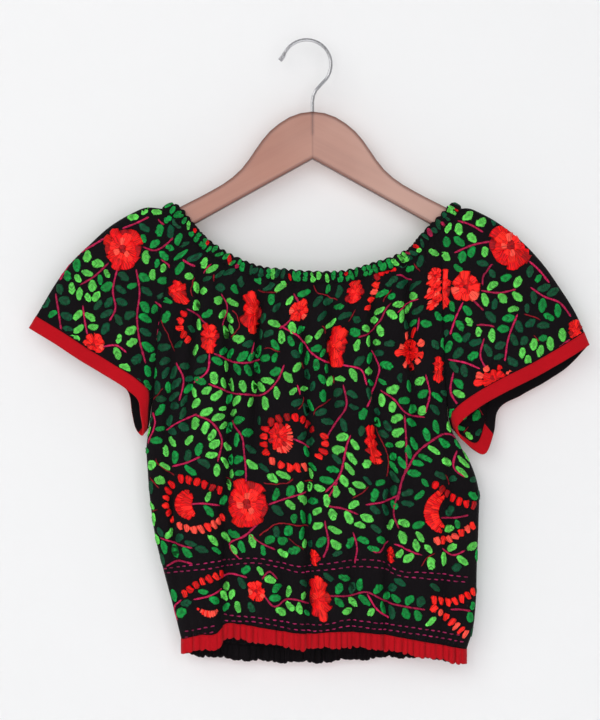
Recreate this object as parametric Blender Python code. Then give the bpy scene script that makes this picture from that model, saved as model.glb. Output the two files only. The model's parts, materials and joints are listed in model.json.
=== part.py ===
"""Off-the-shoulder crop top with gathered neck and hem, hanging on a flat wooden hanger.

X runs to the wearer's left, Y from the front to the wall, Z up. The origin is the inner crest of
the hook. Tables are in millimetres, and MM turns them into metres when a mesh is made.
"""

import math

import bmesh
import bpy
import numpy as np

MM = 0.001
SEAM_GAP = 0.3
CLOTH_WALL = 1.6
BAND_WALL = 2.4

# Neck casing: a tunnel of folded cloth round an elastic, ruffled all the way round.
CASING_WIDTH = 10.0
CASING_RUFFLES = 84
COLUMNS_A_RUFFLE = 3
RUFFLE_PUFF = 0.9
RUFFLE_EDGE = 0.8
CASING_SECTION = (
    # across, out, share of the puff, share of the edge wave
    (-0.50, -1.0, 0.0, 0.0),
    (-0.50, 1.0, 0.3, 0.0),
    (0.00, 2.6, 1.0, 0.2),
    (0.50, 0.4, 0.0, 1.0),
    (0.10, -1.8, 0.0, 0.4),
)
BACK_NECK_DROP = 3.0
BACK_NECK_DEPTH = 0.95

# Middle line of the casing over the front, from one hanger arm to the other.
NECK_LINE = (
    # x, y, z, lean of its width in degrees
    (-138.5, 0.0, -166.0, 63.0),
    (-136.1, -6.4, -166.6, 61.5),
    (-130.5, -9.8, -169.6, 56.0),
    (-121.3, -10.6, -179.8, 50.0),
    (-107.1, -11.2, -196.9, 45.0),
    (-87.0, -11.6, -212.8, 32.0),
    (-69.6, -11.8, -222.0, 24.0),
    (-50.5, -12.0, -229.4, 13.0),
    (-14.0, -12.0, -234.2, 5.0),
    (4.6, -12.0, -235.5, 0.0),
    (42.2, -12.0, -234.2, -8.0),
    (68.7, -11.8, -226.4, -14.0),
    (93.2, -11.6, -218.2, -24.0),
    (106.0, -11.2, -211.0, -38.0),
    (118.4, -10.9, -196.5, -48.0),
    (134.9, -10.6, -179.6, -47.0),
    (144.0, -9.8, -170.6, -54.0),
    (147.8, -6.4, -166.7, -61.5),
    (149.0, 0.0, -165.9, -63.0),
)
RAGLAN_TOP_LEFT = -113.0
RAGLAN_TOP_RIGHT = 127.0

# Edges of the body panels: the raglan seam down to the underarm, then the side seam to the hem.
LEFT_EDGE = (
    # x, z
    (-130.0, -212.0),
    (-140.0, -248.0),
    (-146.5, -280.0),
    (-150.0, -320.0),
    (-153.5, -358.0),
    (-156.0, -384.0),
    (-159.1, -402.0),
    (-158.0, -430.0),
    (-154.9, -465.0),
    (-150.3, -496.0),
    (-141.6, -531.0),
    (-132.8, -564.0),
    (-124.6, -597.0),
)
RIGHT_EDGE = (
    # x, z
    (133.5, -216.0),
    (135.0, -268.0),
    (137.0, -320.0),
    (139.5, -358.0),
    (142.5, -384.0),
    (151.7, -402.5),
    (162.4, -419.8),
    (171.0, -446.0),
    (171.3, -480.0),
    (169.6, -525.0),
    (168.4, -564.0),
    (165.5, -588.0),
    (159.5, -607.0),
)
UNDERARM_Z = -384.0
RAGLAN_ROWS = 6
SIDE_ROWS = (0.10, 0.24, 0.43, 0.62, 0.81, 1.0)

# Which way the cloth faces along the panel edges: 0 to 1 down the raglan seam, 2 the side seam.
SEAM_FACING = (
    # place, sideways, out, up
    (0.00, 0.25, 1.0, 0.0),
    (0.50, 0.45, 1.0, 0.0),
    (0.85, 0.50, 1.0, 0.0),
    (1.00, 0.70, 0.6, -0.4),
    (2.00, 1.00, 0.0, 0.0),
)

# Seams between the body panels and the hem band. The front one steps up at the deep fold.
FRONT_HEM = (
    # x, z
    (-124.6, -597.0),
    (-104.7, -591.5),
    (-87.5, -588.5),
    (-81.5, -581.5),
    (-66.3, -580.5),
    (-46.8, -583.5),
    (-20.5, -587.7),
    (0.0, -590.0),
    (23.0, -588.2),
    (40.0, -587.8),
    (74.0, -590.5),
    (100.6, -595.0),
    (132.8, -601.2),
    (159.5, -607.0),
)
BACK_HEM = (
    # x, z
    (-124.6, -597.0),
    (-95.0, -601.5),
    (-45.0, -606.0),
    (0.0, -607.5),
    (50.0, -604.5),
    (100.0, -602.0),
    (135.0, -604.0),
    (159.5, -607.0),
)
BAND_HEIGHT = 15.0
BAND_PLEATS = 48
BAND_PLEAT_DEPTH = 0.8
BAND_PULL_IN = 2.0

# How far the panels stand from the middle plane, by share of the way from neck to hem.
PANEL_DEPTH = (
    # share, front middle, back middle, at the edges
    (0.00, 12.0, 11.4, 10.7),
    (0.12, 15.5, 13.0, 9.6),
    (0.30, 20.0, 14.5, 6.6),
    (0.44, 22.0, 15.5, 2.8),
    (0.47, 22.3, 15.8, 2.6),
    (0.52, 22.5, 16.0, 0.0),
    (0.75, 22.0, 16.0, 0.0),
    (1.00, 19.0, 15.0, 0.0),
)
EDGE_POWER = 2.6
FLAT_WIDTH = 400.0

# Creases that run down from the gathers or up from the hem.
FRONT_FOLDS = (
    # x at the neck, halfway, at the hem, starts, ends, depth, half width
    (-98.0, -118.0, -112.0, 0.00, 0.58, 6.0, 8.5),
    (-80.0, -75.0, -85.0, 0.03, 1.15, 8.0, 9.0),
    (-43.0, -49.0, -47.0, 0.00, 0.64, 8.0, 9.0),
    (-8.0, 2.5, 2.0, 0.06, 1.15, 7.0, 8.5),
    (18.0, 25.0, 24.0, 0.00, 0.56, 6.5, 8.5),
    (59.0, 66.0, 66.0, 0.00, 0.68, 7.5, 9.0),
    (82.0, 82.0, 79.0, 0.42, 1.15, 7.0, 8.5),
    (93.0, 105.0, 110.0, 0.00, 0.66, 6.5, 8.5),
    (-105.0, -137.0, -104.0, 0.10, 0.90, 4.5, 9.0),
)
BACK_FOLDS = (
    # x at the neck, halfway, at the hem, starts, ends, depth, half width
    (-84.0, -118.0, -86.0, 0.00, 0.58, 4.5, 11.0),
    (-51.0, -78.0, -62.0, 0.00, 1.10, 5.0, 12.0),
    (-20.0, -33.0, -11.0, 0.00, 0.62, 4.5, 11.0),
    (10.0, 9.0, 29.0, 0.00, 1.10, 4.5, 12.0),
    (42.0, 46.0, 56.0, 0.00, 0.62, 4.5, 11.0),
    (75.0, 92.0, 102.0, 0.00, 1.10, 5.0, 12.0),
    (104.0, 122.0, 128.0, 0.00, 0.54, 4.5, 11.0),
)
FRONT_COLUMNS = 96
BACK_COLUMNS = 48

# Sleeves. Round the ring, 0 is the shoulder fold, 0.5 the underarm, and 1 the shoulder again.
LEFT_SHOULDER = (
    # x, z along the fold from the casing to the outer corner
    (-161.5, -167.2),
    (-174.0, -172.5),
    (-197.2, -186.6),
    (-215.1, -202.6),
    (-238.3, -225.8),
    (-250.8, -243.4),
    (-264.0, -265.5),
)
LEFT_CUFF = (
    # ring, x, y, z of the sleeve's free edge
    (0.000, -276.7, 0.0, -286.9),
    (0.010, -276.2, -3.4, -287.2),
    (0.035, -268.5, -8.5, -291.6),
    (0.100, -250.8, -11.0, -302.1),
    (0.180, -227.6, -13.0, -317.3),
    (0.280, -200.8, -14.0, -333.3),
    (0.370, -177.6, -14.5, -348.5),
    (0.425, -166.2, -15.0, -360.5),
    (0.460, -164.6, -13.5, -373.5),
    (0.482, -162.6, -11.5, -385.0),
    (0.500, -163.6, -4.5, -392.6),
    (0.540, -170.6, 0.5, -387.5),
    (0.585, -174.8, 4.5, -372.0),
    (0.640, -178.0, 7.5, -353.0),
    (0.740, -201.0, 9.5, -331.0),
    (0.860, -238.0, 9.5, -308.0),
    (0.960, -267.5, 8.0, -292.0),
    (0.990, -276.2, 3.4, -287.2),
    (1.000, -276.7, 0.0, -286.9),
)
RIGHT_SHOULDER = (
    # x, z along the fold from the casing to the outer corner
    (161.0, -167.6),
    (173.5, -172.4),
    (198.5, -187.4),
    (212.8, -199.0),
    (237.8, -225.8),
    (252.1, -246.2),
    (268.0, -271.5),
)
RIGHT_CUFF = (
    # ring, x, y, z of the sleeve's free edge
    (0.000, 282.0, 0.0, -303.5),
    (0.010, 281.4, -3.6, -303.9),
    (0.035, 272.5, -9.0, -309.5),
    (0.130, 234.2, -12.0, -332.0),
    (0.240, 198.5, -14.0, -350.0),
    (0.330, 173.5, -14.5, -364.0),
    (0.410, 154.5, -14.0, -379.0),
    (0.450, 149.6, -12.0, -386.5),
    (0.478, 152.6, -8.0, -394.0),
    (0.500, 159.5, 0.0, -400.5),
    (0.570, 180.3, 5.0, -411.5),
    (0.610, 188.0, 9.0, -392.0),
    (0.660, 191.5, 11.0, -371.5),
    (0.760, 217.0, 12.0, -353.5),
    (0.860, 243.5, 11.5, -338.5),
    (0.960, 271.0, 9.0, -317.0),
    (0.990, 281.4, 3.6, -304.5),
    (1.000, 282.0, 0.0, -303.5),
)
RING_AT_RAGLAN = 0.085
RING_BY_UNDERARM = 0.49
UNDERARM_DROP = 1.4
SLEEVE_BULGE = 5.0
OVER_ARM_COLUMNS = 10
SLEEVE_ROWS = 8
UNDERARM_ROOM = 2.2
CUFF_WIDTH = 14.0
CUFF_ROWS = 2

# Hanger: a flat board of wood, symmetrical about its shank.
SHANK_X = 6.0
BOARD_THICKNESS = 12.0
BOARD_TOP = (
    # distance from the shank, z
    (0.0, -70.5),
    (16.0, -73.0),
    (32.0, -81.5),
    (43.0, -90.5),
    (53.5, -103.5),
    (62.5, -117.0),
    (73.0, -130.0),
    (84.0, -139.3),
    (100.0, -149.0),
    (132.0, -165.6),
    (165.0, -181.6),
    (190.0, -191.9),
    (198.0, -196.0),
)
BOARD_UNDER = (
    # distance from the shank, z
    (203.4, -202.2),
    (204.4, -210.0),
    (201.8, -216.6),
    (196.0, -219.6),
    (165.0, -206.2),
    (130.0, -189.6),
)
BOARD_NOTCH_Z = -117.8
BOARD_BEVEL = 2.0
BORE_RADIUS = 2.1
BORE_DEPTH = 24.0

# Hook: round wire, an open ring above an offset shank.
WIRE_RADIUS = 1.75
HOOK_INNER_RADIUS = 22.8
HOOK_START_DEGREES = 160.0
HOOK_END_DEGREES = -38.0
HOOK_TIP_RADIUS = 2.4
SHANK_END = 21.0

BLACK = (0.012, 0.010, 0.013)
RED = (0.45, 0.005, 0.012)
WOOD = (0.46, 0.24, 0.17)
STEEL = (0.80, 0.80, 0.80)


def through(knots, values, at):
    """Values at some places on the smooth curve through a table's rows."""
    knots = np.asarray(knots, float)
    values = np.asarray(values, float)
    at = np.asarray(at, float)
    slopes = np.gradient(values, knots, axis=0)
    i = np.clip(np.searchsorted(knots, at, side="right") - 1, 0, len(knots) - 2)
    span = knots[i + 1] - knots[i]
    p = (at - knots[i]) / span
    if values.ndim > 1:
        p, span = p[..., None], span[..., None]
    return (
        values[i] * (1 + 2 * p) * (1 - p) ** 2
        + slopes[i] * span * p * (1 - p) ** 2
        + values[i + 1] * p * p * (3 - 2 * p)
        + slopes[i + 1] * span * p * p * (p - 1)
    )


def along(rows, shares):
    """Points at shares of the length of the smooth curve through the rows."""
    rows = np.asarray(rows, float)
    steps = np.linalg.norm(np.diff(rows, axis=0), axis=1)
    knots = np.concatenate([[0.0], np.cumsum(steps)])
    return through(knots / knots[-1], rows, shares)


def fade(value):
    """0 below 0, 1 above 1, and smooth between."""
    value = np.clip(value, 0, 1)
    return value * value * (3 - 2 * value)


def unit(vectors):
    return vectors / np.linalg.norm(vectors, axis=-1, keepdims=True)


class NeckRing:
    """The casing's middle line with its directions: along, towards the neck, and outwards."""

    SAMPLES = 1440

    def __init__(self):
        front = np.array(NECK_LINE)
        back = front[-2:0:-1] * (1, -BACK_NECK_DEPTH, 1, 1)
        middle = np.sin(np.pi * (back[:, 0] - front[0, 0]) / (front[-1, 0] - front[0, 0]))
        back[:, 2] -= BACK_NECK_DROP * middle**2
        rows = np.concatenate([front, back])
        wrapped = np.concatenate([rows[-3:], rows, rows[:3]])
        steps = np.linalg.norm(np.diff(wrapped[:, :3], axis=0), axis=1)
        knots = np.concatenate([[0.0], np.cumsum(steps)])
        fine = through(knots, wrapped, np.linspace(knots[3], knots[-3], self.SAMPLES + 1))
        lengths = np.linalg.norm(np.diff(fine[:, :3], axis=0), axis=1)
        lengths = np.concatenate([[0.0], np.cumsum(lengths)])
        self.share = np.linspace(0, 1, self.SAMPLES + 1)
        even = np.stack([np.interp(self.share, lengths / lengths[-1], c) for c in fine.T], 1)
        self.middle = even[:, :3]
        ahead = np.roll(self.middle[:-1], -4, 0) - np.roll(self.middle[:-1], 4, 0)
        tangent = unit(np.concatenate([ahead, ahead[:1]]))
        lean = np.radians(even[:, 3])
        up = np.stack([np.sin(lean), np.zeros_like(lean), np.cos(lean)], 1)
        self.towards_neck = unit(up - tangent * (up * tangent).sum(1, keepdims=True))
        self.outwards = np.cross(tangent, self.towards_neck)

    def read(self, table, share):
        share = np.asarray(share, float) % 1.0
        return np.stack([np.interp(share, self.share, c) for c in table.T], -1)

    def at(self, share, width=0.0, out=0.0):
        """Points at shares of the ring, moved across the casing and out of it."""
        width, out = np.broadcast_arrays(width, out)
        across = self.read(self.towards_neck, share) * width[..., None]
        return self.read(self.middle, share) + across + self.facing(share) * out[..., None]

    def facing(self, share):
        return self.read(self.outwards, share)

    def share_at(self, x, behind):
        """Where the ring passes a place across the body, in front or behind."""
        half = self.share[:-1] > 0.5 if behind else self.share[:-1] <= 0.5
        found = np.where(half, abs(self.middle[:-1, 0] - x), np.inf)
        return self.share[int(found.argmin())]


RING = NeckRing()


def panel_depth(share, column):
    table = np.array(PANEL_DEPTH)
    return np.maximum(through(table[:, 0], table[:, column], share), 0)


def raglan_top(side, behind):
    """Where on the neck ring a raglan seam starts."""
    return RING.share_at(RAGLAN_TOP_LEFT if side < 0 else RAGLAN_TOP_RIGHT, behind)


def panel_seam(side, behind):
    """A body panel's edge at each of its rows: shares of its length, points, and facings."""
    place = raglan_top(side, behind)
    top = RING.at(place, -CASING_WIDTH / 2 - SEAM_GAP)
    flat = np.concatenate([[top[[0, 2]]], np.array(LEFT_EDGE if side < 0 else RIGHT_EDGE)])
    lengths = np.concatenate([[0.0], np.cumsum(np.linalg.norm(np.diff(flat, axis=0), axis=1))])
    underarm = np.interp(-UNDERARM_Z, -flat[:, 1], lengths / lengths[-1])
    raglan = np.linspace(0, underarm, RAGLAN_ROWS + 1)
    shares = np.concatenate([raglan, underarm + (1 - underarm) * np.array(SIDE_ROWS)])
    found = along(flat, shares)
    out = 1 if behind else -1
    depth = np.maximum(panel_depth(shares, 3), SEAM_GAP / 2)
    points = np.stack([found[:, 0], out * depth, found[:, 1]], 1)
    points[0] = top
    table = np.array(SEAM_FACING)
    reach = np.concatenate([np.linspace(0, 1, RAGLAN_ROWS + 1), np.full(len(SIDE_ROWS), 2.0)])
    facing = np.stack([np.interp(reach, table[:, 0], c) for c in table[:, 1:].T], 1)
    facing = unit(facing * (side, out, 1))
    facing[0] = RING.facing(place)
    return shares, points, facing


def crease(table, u, v, left, right):
    """How far the folds press the cloth in, over flat places u and shares v down the panel."""
    total = np.zeros(np.broadcast(u, v).shape)
    for neck, halfway, hem, starts, ends, depth, half in table:
        x = neck * (1 - v) * (1 - 2 * v) + 4 * halfway * v * (1 - v) + hem * v * (2 * v - 1)
        place = FLAT_WIDTH * (x - left) / (right - left)
        strength = fade((v - starts) / 0.10) * fade((ends - v) / 0.30)
        total += depth * strength * np.exp(-(((u - place) / half) ** 2))
    return total


def body_panel(behind, columns, table):
    """Middle surface of the front or the back from the casing to the hem, and its facings."""
    left_share, left, left_facing = panel_seam(-1, behind)
    right_share, right, right_facing = panel_seam(1, behind)
    v = (left_share + right_share)[:, None] / 2
    fine = np.linspace(0, 1, 401)
    pressed = crease(table, fine[None] * FLAT_WIDTH, v, left[:, :1], right[:, :1])
    climb = np.gradient(pressed, FLAT_WIDTH * fine, axis=1)
    spread = np.sqrt(np.maximum(1 - climb**2, 0.05))
    hung = np.cumsum(spread, axis=1) - spread[:, :1]
    hung /= hung[:, -1:]
    u = np.linspace(0, 1, columns + 1)
    across = np.stack([np.interp(u, fine, row) for row in hung])
    pressed = np.stack([np.interp(u, fine, row) for row in pressed])

    low, high = raglan_top(-1, behind), raglan_top(1, behind)
    top = RING.at(low + (high - low) * across, -CASING_WIDTH / 2 - SEAM_GAP)[..., [0, 2]]
    hem = np.array(BACK_HEM if behind else FRONT_HEM)
    bottom_x = hem[0, 0] + (hem[-1, 0] - hem[0, 0]) * across
    bottom = np.stack([bottom_x, through(hem[:, 0], hem[:, 1], bottom_x)], -1)
    s, t = across[..., None], v[..., None]
    a, b = left[:, None, [0, 2]], right[:, None, [0, 2]]
    flat = (
        (1 - t) * (top - (1 - s) * a[0] - s * b[0])
        + t * (bottom - (1 - s) * a[-1] - s * b[-1])
        + (1 - s) * a
        + s * b
    )
    round_off = (1 - abs(2 * across - 1) ** EDGE_POWER) ** (1 / EDGE_POWER)
    edge = abs((1 - across) * left[:, 1:2] + across * right[:, 1:2])
    room = fade(np.minimum(across, 1 - across) / 0.06)
    depth = edge + np.maximum(panel_depth(v, 2 if behind else 1) - edge, 0) * round_off
    depth = np.maximum(depth - pressed * room, edge * 0.6)
    out = 1 if behind else -1
    grid = np.stack([flat[..., 0], out * depth, flat[..., 1]], -1)
    grid[:, 0], grid[:, -1] = left, right
    grid[0] = RING.at(low + (high - low) * across[0], -CASING_WIDTH / 2 - SEAM_GAP)
    facing = grid_facing(grid, closed=False) * -out
    facing[0] = RING.facing(low + (high - low) * across[0])
    facing[:, 0], facing[:, -1] = left_facing, right_facing
    return grid, facing


def hem_band(seam, seam_facing):
    """Middle surface of half the hem band below a panel's last row, pleated by its elastic."""
    share = np.linspace(0, 1, 2 * BAND_PLEATS + 1)
    knots = np.linspace(0, 1, len(seam))
    seam = np.stack([np.interp(share, knots, c) for c in seam.T], 1)
    seam_facing = unit(np.stack([np.interp(share, knots, c) for c in seam_facing.T], 1))
    out = np.sign(seam[len(seam) // 2, 1])
    ends = fade(np.minimum(share, 1 - share) / 0.04)
    pleat = BAND_PLEAT_DEPTH * np.cos(2 * np.pi * BAND_PLEATS * share) * ends
    rows = []
    for down in (0.0, 0.5, 1.0):
        row = seam.copy()
        row[:, 1] += out * ((0.5 + 0.5 * down) * pleat - BAND_PULL_IN * down * ends)
        row[:, 2] -= SEAM_GAP + BAND_HEIGHT * down + 0.5 * pleat * down
        rows.append(row)
    grid = np.array(rows)
    facing = grid_facing(grid, closed=False) * -out
    facing[0] = seam_facing
    facing[:, 0], facing[:, -1] = (-1, 0, 0), (1, 0, 0)
    return grid, facing


def sleeve_ring(side):
    """Places round a sleeve, and its seam there: over the arm, then down the raglan seams."""
    halves = []
    crossing = 0.0 if side < 0 else RING.share_at(NECK_LINE[-1][0], False)
    for behind in (False, True):
        start = 1.0 if side < 0 and behind else crossing
        reach = (np.arange(OVER_ARM_COLUMNS) / OVER_ARM_COLUMNS) ** 1.4
        share = start + (raglan_top(side, behind) - start) * reach
        over = RING.at(share, -CASING_WIDTH / 2 - SEAM_GAP / 2)
        _, seam, facing = panel_seam(side, behind)
        rows = np.linspace(0, RAGLAN_ROWS, 2 * RAGLAN_ROWS + 1)
        knots = np.arange(RAGLAN_ROWS + 1)
        seam = np.stack([np.interp(rows, knots, c[: RAGLAN_ROWS + 1]) for c in seam.T], 1)
        facing = np.stack([np.interp(rows, knots, c[: RAGLAN_ROWS + 1]) for c in facing.T], 1)
        place = RING_AT_RAGLAN + (RING_BY_UNDERARM - RING_AT_RAGLAN) * rows / RAGLAN_ROWS
        place = np.concatenate([RING_AT_RAGLAN * reach, place])
        points = np.concatenate([over, seam])
        points[:, 0] += side * UNDERARM_ROOM * fade((place - 0.38) / 0.12)
        halves.append((place, points, unit(np.concatenate([RING.facing(share), facing]))))
    front, back = halves
    lowest = (front[1][-1] + back[1][-1]) / 2 + (0, 0, -UNDERARM_DROP)
    return (
        np.concatenate([front[0], [0.5], 1 - back[0][:0:-1]]),
        np.concatenate([front[1], [lowest], back[1][:0:-1]]),
        np.concatenate([front[2], [unit(np.array((0.5 * side, 0, -0.9)))], back[2][:0:-1]]),
    )


def sleeve_and_cuff(side):
    """Middle surfaces of a sleeve and of the band on its free edge, with their facings."""
    ring, seam, seam_facing = sleeve_ring(side)
    table = np.array(RIGHT_CUFF if side > 0 else LEFT_CUFF)
    outer = through(table[:, 0], table[:, 1:], ring)
    t = np.linspace(0, 1, 61)
    lines = seam[None] * (1 - t[:, None, None]) + outer[None] * t[:, None, None]
    fold = np.array(RIGHT_SHOULDER if side > 0 else LEFT_SHOULDER)
    fold = np.concatenate([[seam[0, [0, 2]]], fold, [outer[0, [0, 2]]]])
    bow = along(fold, t) - (fold[0] * (1 - t[:, None]) + fold[-1] * t[:, None])
    hold = (0.5 + 0.5 * np.cos(2 * np.pi * ring)) ** 1.5
    lines[..., [0, 2]] += bow[:, None] * hold[None, :, None]
    lines[..., 1] -= SLEEVE_BULGE * np.sin(np.pi * t)[:, None] * np.sin(2 * np.pi * ring)[None]

    square = unit(np.cross(seam_facing, np.roll(seam, -1, 0) - np.roll(seam, 1, 0)))
    leaving = unit(lines[1] - lines[0])
    trim = SEAM_GAP / np.maximum(abs((square * leaving).sum(1)), 0.3)
    columns = []
    for line, start in zip(np.swapaxes(lines, 0, 1), trim):
        lengths = np.concatenate([[0.0], np.cumsum(np.linalg.norm(np.diff(line, axis=0), axis=1))])
        end = lengths[-1]
        width = min(CUFF_WIDTH, 0.65 * end)
        cloth = np.linspace(start, end - width - SEAM_GAP, SLEEVE_ROWS + 1)
        at = np.concatenate([cloth, np.linspace(end - width, end, CUFF_ROWS + 1)])
        columns.append(np.stack([np.interp(at, lengths, c) for c in line.T], 1))
    grid = np.swapaxes(np.array(columns), 0, 1)
    facing = grid_facing(grid, closed=True)
    facing *= np.sign((facing[SLEEVE_ROWS // 2] * seam_facing).sum())
    facing[0] = seam_facing
    joined = unit(facing[SLEEVE_ROWS] + facing[SLEEVE_ROWS + 1])
    facing[SLEEVE_ROWS] = facing[SLEEVE_ROWS + 1] = joined
    cut = SLEEVE_ROWS + 1
    return (grid[:cut], facing[:cut]), (grid[cut:], facing[cut:])


def grid_facing(grid, closed):
    """Directions square to a grid of rows; closed joins the last column to the first."""
    down = np.gradient(grid, axis=0)
    if closed:
        across = np.roll(grid, -1, 1) - np.roll(grid, 1, 1)
    else:
        across = np.gradient(grid, axis=1)
    return unit(np.cross(down, across))


def material(name, colour, roughness, metallic=0.0):
    made = bpy.data.materials.new(name)
    made.use_nodes = True
    shader = made.node_tree.nodes["Principled BSDF"]
    shader.inputs["Base Color"].default_value = (*colour, 1.0)
    shader.inputs["Roughness"].default_value = roughness
    shader.inputs["Metallic"].default_value = metallic
    return made


def place(name, points, faces, finish, smooth_degrees=60.0):
    """A mesh object from points in millimetres, its normals pointing out."""
    mesh = bpy.data.meshes.new(name)
    mesh.from_pydata([tuple(p) for p in np.asarray(points) * MM], [], [tuple(f) for f in faces])
    shape = bmesh.new()
    shape.from_mesh(mesh)
    bmesh.ops.recalc_face_normals(shape, faces=shape.faces)
    shape.to_mesh(mesh)
    shape.free()
    mesh.materials.append(finish)
    mesh.shade_smooth()
    mesh.set_sharp_from_angle(angle=math.radians(smooth_degrees))
    made = bpy.data.objects.new(name, mesh)
    bpy.context.scene.collection.objects.link(made)
    return made


def wall(name, surface, thickness, closed, finish):
    """A closed wall round a middle surface: two skins joined along their free edges."""
    grid, facing = surface
    rows, columns = grid.shape[:2]
    skins = [grid + facing * thickness / 2, grid - facing * thickness / 2]
    points = np.concatenate([s.reshape(-1, 3) for s in skins])
    second = rows * columns
    faces = []
    for r in range(rows - 1):
        for c in range(columns if closed else columns - 1):
            a, b = r * columns + c, r * columns + (c + 1) % columns
            d, e = a + columns, b + columns
            faces += [(a, d, e, b), (a + second, b + second, e + second, d + second)]
    for r in (0, rows - 1):
        for c in range(columns if closed else columns - 1):
            a, b = r * columns + c, r * columns + (c + 1) % columns
            faces.append((a, b, b + second, a + second))
    if not closed:
        for c in (0, columns - 1):
            for r in range(rows - 1):
                a, b = r * columns + c, (r + 1) * columns + c
                faces.append((a, b, b + second, a + second))
    return place(name, points, faces, finish)


def neck_casing(finish):
    """The ruffled tunnel: one section carried round the ring, puffed out and in by each ruffle."""
    columns = CASING_RUFFLES * COLUMNS_A_RUFFLE
    share = np.arange(columns) / columns
    wave = np.cos(2 * np.pi * CASING_RUFFLES * share)
    grid = np.stack(
        [
            RING.at(share, CASING_WIDTH * w + RUFFLE_EDGE * edge * wave, n + RUFFLE_PUFF * puff * wave)
            for w, n, puff, edge in CASING_SECTION
        ]
    )
    sides = len(CASING_SECTION)
    faces = []
    for r in range(sides):
        for c in range(columns):
            a, b = r * columns + c, r * columns + (c + 1) % columns
            d, e = (r + 1) % sides * columns + c, (r + 1) % sides * columns + (c + 1) % columns
            faces.append((a, b, e, d))
    return place("neck_casing", grid.reshape(-1, 3), faces, finish)


def hanger_board(finish):
    """The flat board cut to its outline, its edges rounded and its top bored for the shank."""
    top = np.array(BOARD_TOP)
    steps = np.linspace(0, 1, 15)
    half = np.concatenate([along(top[:10], steps), top[10:], np.array(BOARD_UNDER)])
    right = [(SHANK_X + x, z) for x, z in half]
    left = [(SHANK_X - x, z) for x, z in half[:0:-1]]
    outline = right + [(SHANK_X, BOARD_NOTCH_Z)] + left
    count = len(outline)
    front = [(x, -BOARD_THICKNESS / 2, z) for x, z in outline]
    back = [(x, BOARD_THICKNESS / 2, z) for x, z in outline]
    faces = [tuple(range(count)), tuple(range(2 * count - 1, count - 1, -1))]
    faces += [(i, i + count, (i + 1) % count + count, (i + 1) % count) for i in range(count)]
    board = place("hanger_board", front + back, faces, finish, smooth_degrees=40.0)
    rounding = board.modifiers.new("edges", "BEVEL")
    rounding.width = BOARD_BEVEL * MM
    rounding.segments = 2
    rounding.limit_method = "ANGLE"
    rounding.angle_limit = math.radians(60)
    bpy.ops.mesh.primitive_cylinder_add(
        vertices=12,
        radius=BORE_RADIUS * MM,
        depth=2 * BORE_DEPTH * MM,
        location=(SHANK_X * MM, 0, BOARD_TOP[0][1] * MM),
    )
    drill = bpy.context.object
    drill.name = "bore_drill"
    drill.hide_render = True
    drill.display_type = "WIRE"
    bore = board.modifiers.new("bore", "BOOLEAN")
    bore.operation = "DIFFERENCE"
    bore.object = drill
    return board


def hook_line():
    """Middle line of the wire: round the ring from its tip, then down the offset shank."""
    radius = HOOK_INNER_RADIUS + WIRE_RADIUS
    angles = np.radians(np.linspace(HOOK_START_DEGREES, HOOK_END_DEGREES, 23))
    ring = [(radius * math.cos(a), radius * math.sin(a) - HOOK_INNER_RADIUS) for a in angles]
    tip = (ring[0][0] - 3.6, ring[0][1] - 4.6)
    neck = [(14.2, -43.2), (9.4, -48.8), (6.9, -54.2), (SHANK_X, -60.5)]
    shank = [(SHANK_X, -66.0), (SHANK_X, BOARD_TOP[0][1] - SHANK_END)]
    return [tip] + ring + neck + shank


def hanger_hook(finish):
    line = hook_line()
    curve = bpy.data.curves.new("hanger_hook", "CURVE")
    curve.dimensions = "3D"
    curve.bevel_depth = WIRE_RADIUS * MM
    curve.bevel_resolution = 2
    curve.use_fill_caps = True
    wire = curve.splines.new("POLY")
    wire.points.add(len(line) - 1)
    for point, (x, z) in zip(wire.points, line):
        point.co = (x * MM, 0, z * MM, 1)
    wire.points[0].radius = HOOK_TIP_RADIUS / WIRE_RADIUS
    wire.points[1].radius = HOOK_TIP_RADIUS / WIRE_RADIUS
    made = bpy.data.objects.new("hanger_hook", curve)
    bpy.context.scene.collection.objects.link(made)
    curve.materials.append(finish)
    return made


def main():
    for old in list(bpy.data.objects):
        bpy.data.objects.remove(old)
    cloth = material("black_cloth", BLACK, 0.85)
    trim = material("red_trim", RED, 0.8)
    wood = material("varnished_wood", WOOD, 0.4)
    steel = material("bright_wire", STEEL, 0.2, 1.0)

    front = body_panel(False, FRONT_COLUMNS, FRONT_FOLDS)
    back = body_panel(True, BACK_COLUMNS, BACK_FOLDS)
    wall("body_front", front, CLOTH_WALL, False, cloth)
    wall("body_back", back, CLOTH_WALL, False, cloth)
    wall("hem_band_front", hem_band(front[0][-1], front[1][-1]), BAND_WALL, False, trim)
    wall("hem_band_back", hem_band(back[0][-1], back[1][-1]), BAND_WALL, False, trim)
    for side, name in ((-1, "left"), (1, "right")):
        sleeve, cuff = sleeve_and_cuff(side)
        wall(f"sleeve_{name}", sleeve, CLOTH_WALL, True, cloth)
        wall(f"cuff_{name}", cuff, BAND_WALL, True, trim)
    neck_casing(cloth)
    hanger_board(wood)
    hanger_hook(steel)


main()
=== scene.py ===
"""Off-the-shoulder crop top with stitched leaves and flowers, on a flat wooden hanger.

Laid out as an add-on with one operator for each group of like pieces, and run as a script.
X runs to the wearer's left, Y from the front to the wall, Z up. The origin is the inner crest of
the hook. Tables are in millimetres, and MM turns them into metres when a mesh is made.
"""

import json
import math

import bpy
import numpy as np
from bpy.props import FloatProperty, FloatVectorProperty, IntProperty, PointerProperty
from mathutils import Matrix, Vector
from mathutils.bvhtree import BVHTree

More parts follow.
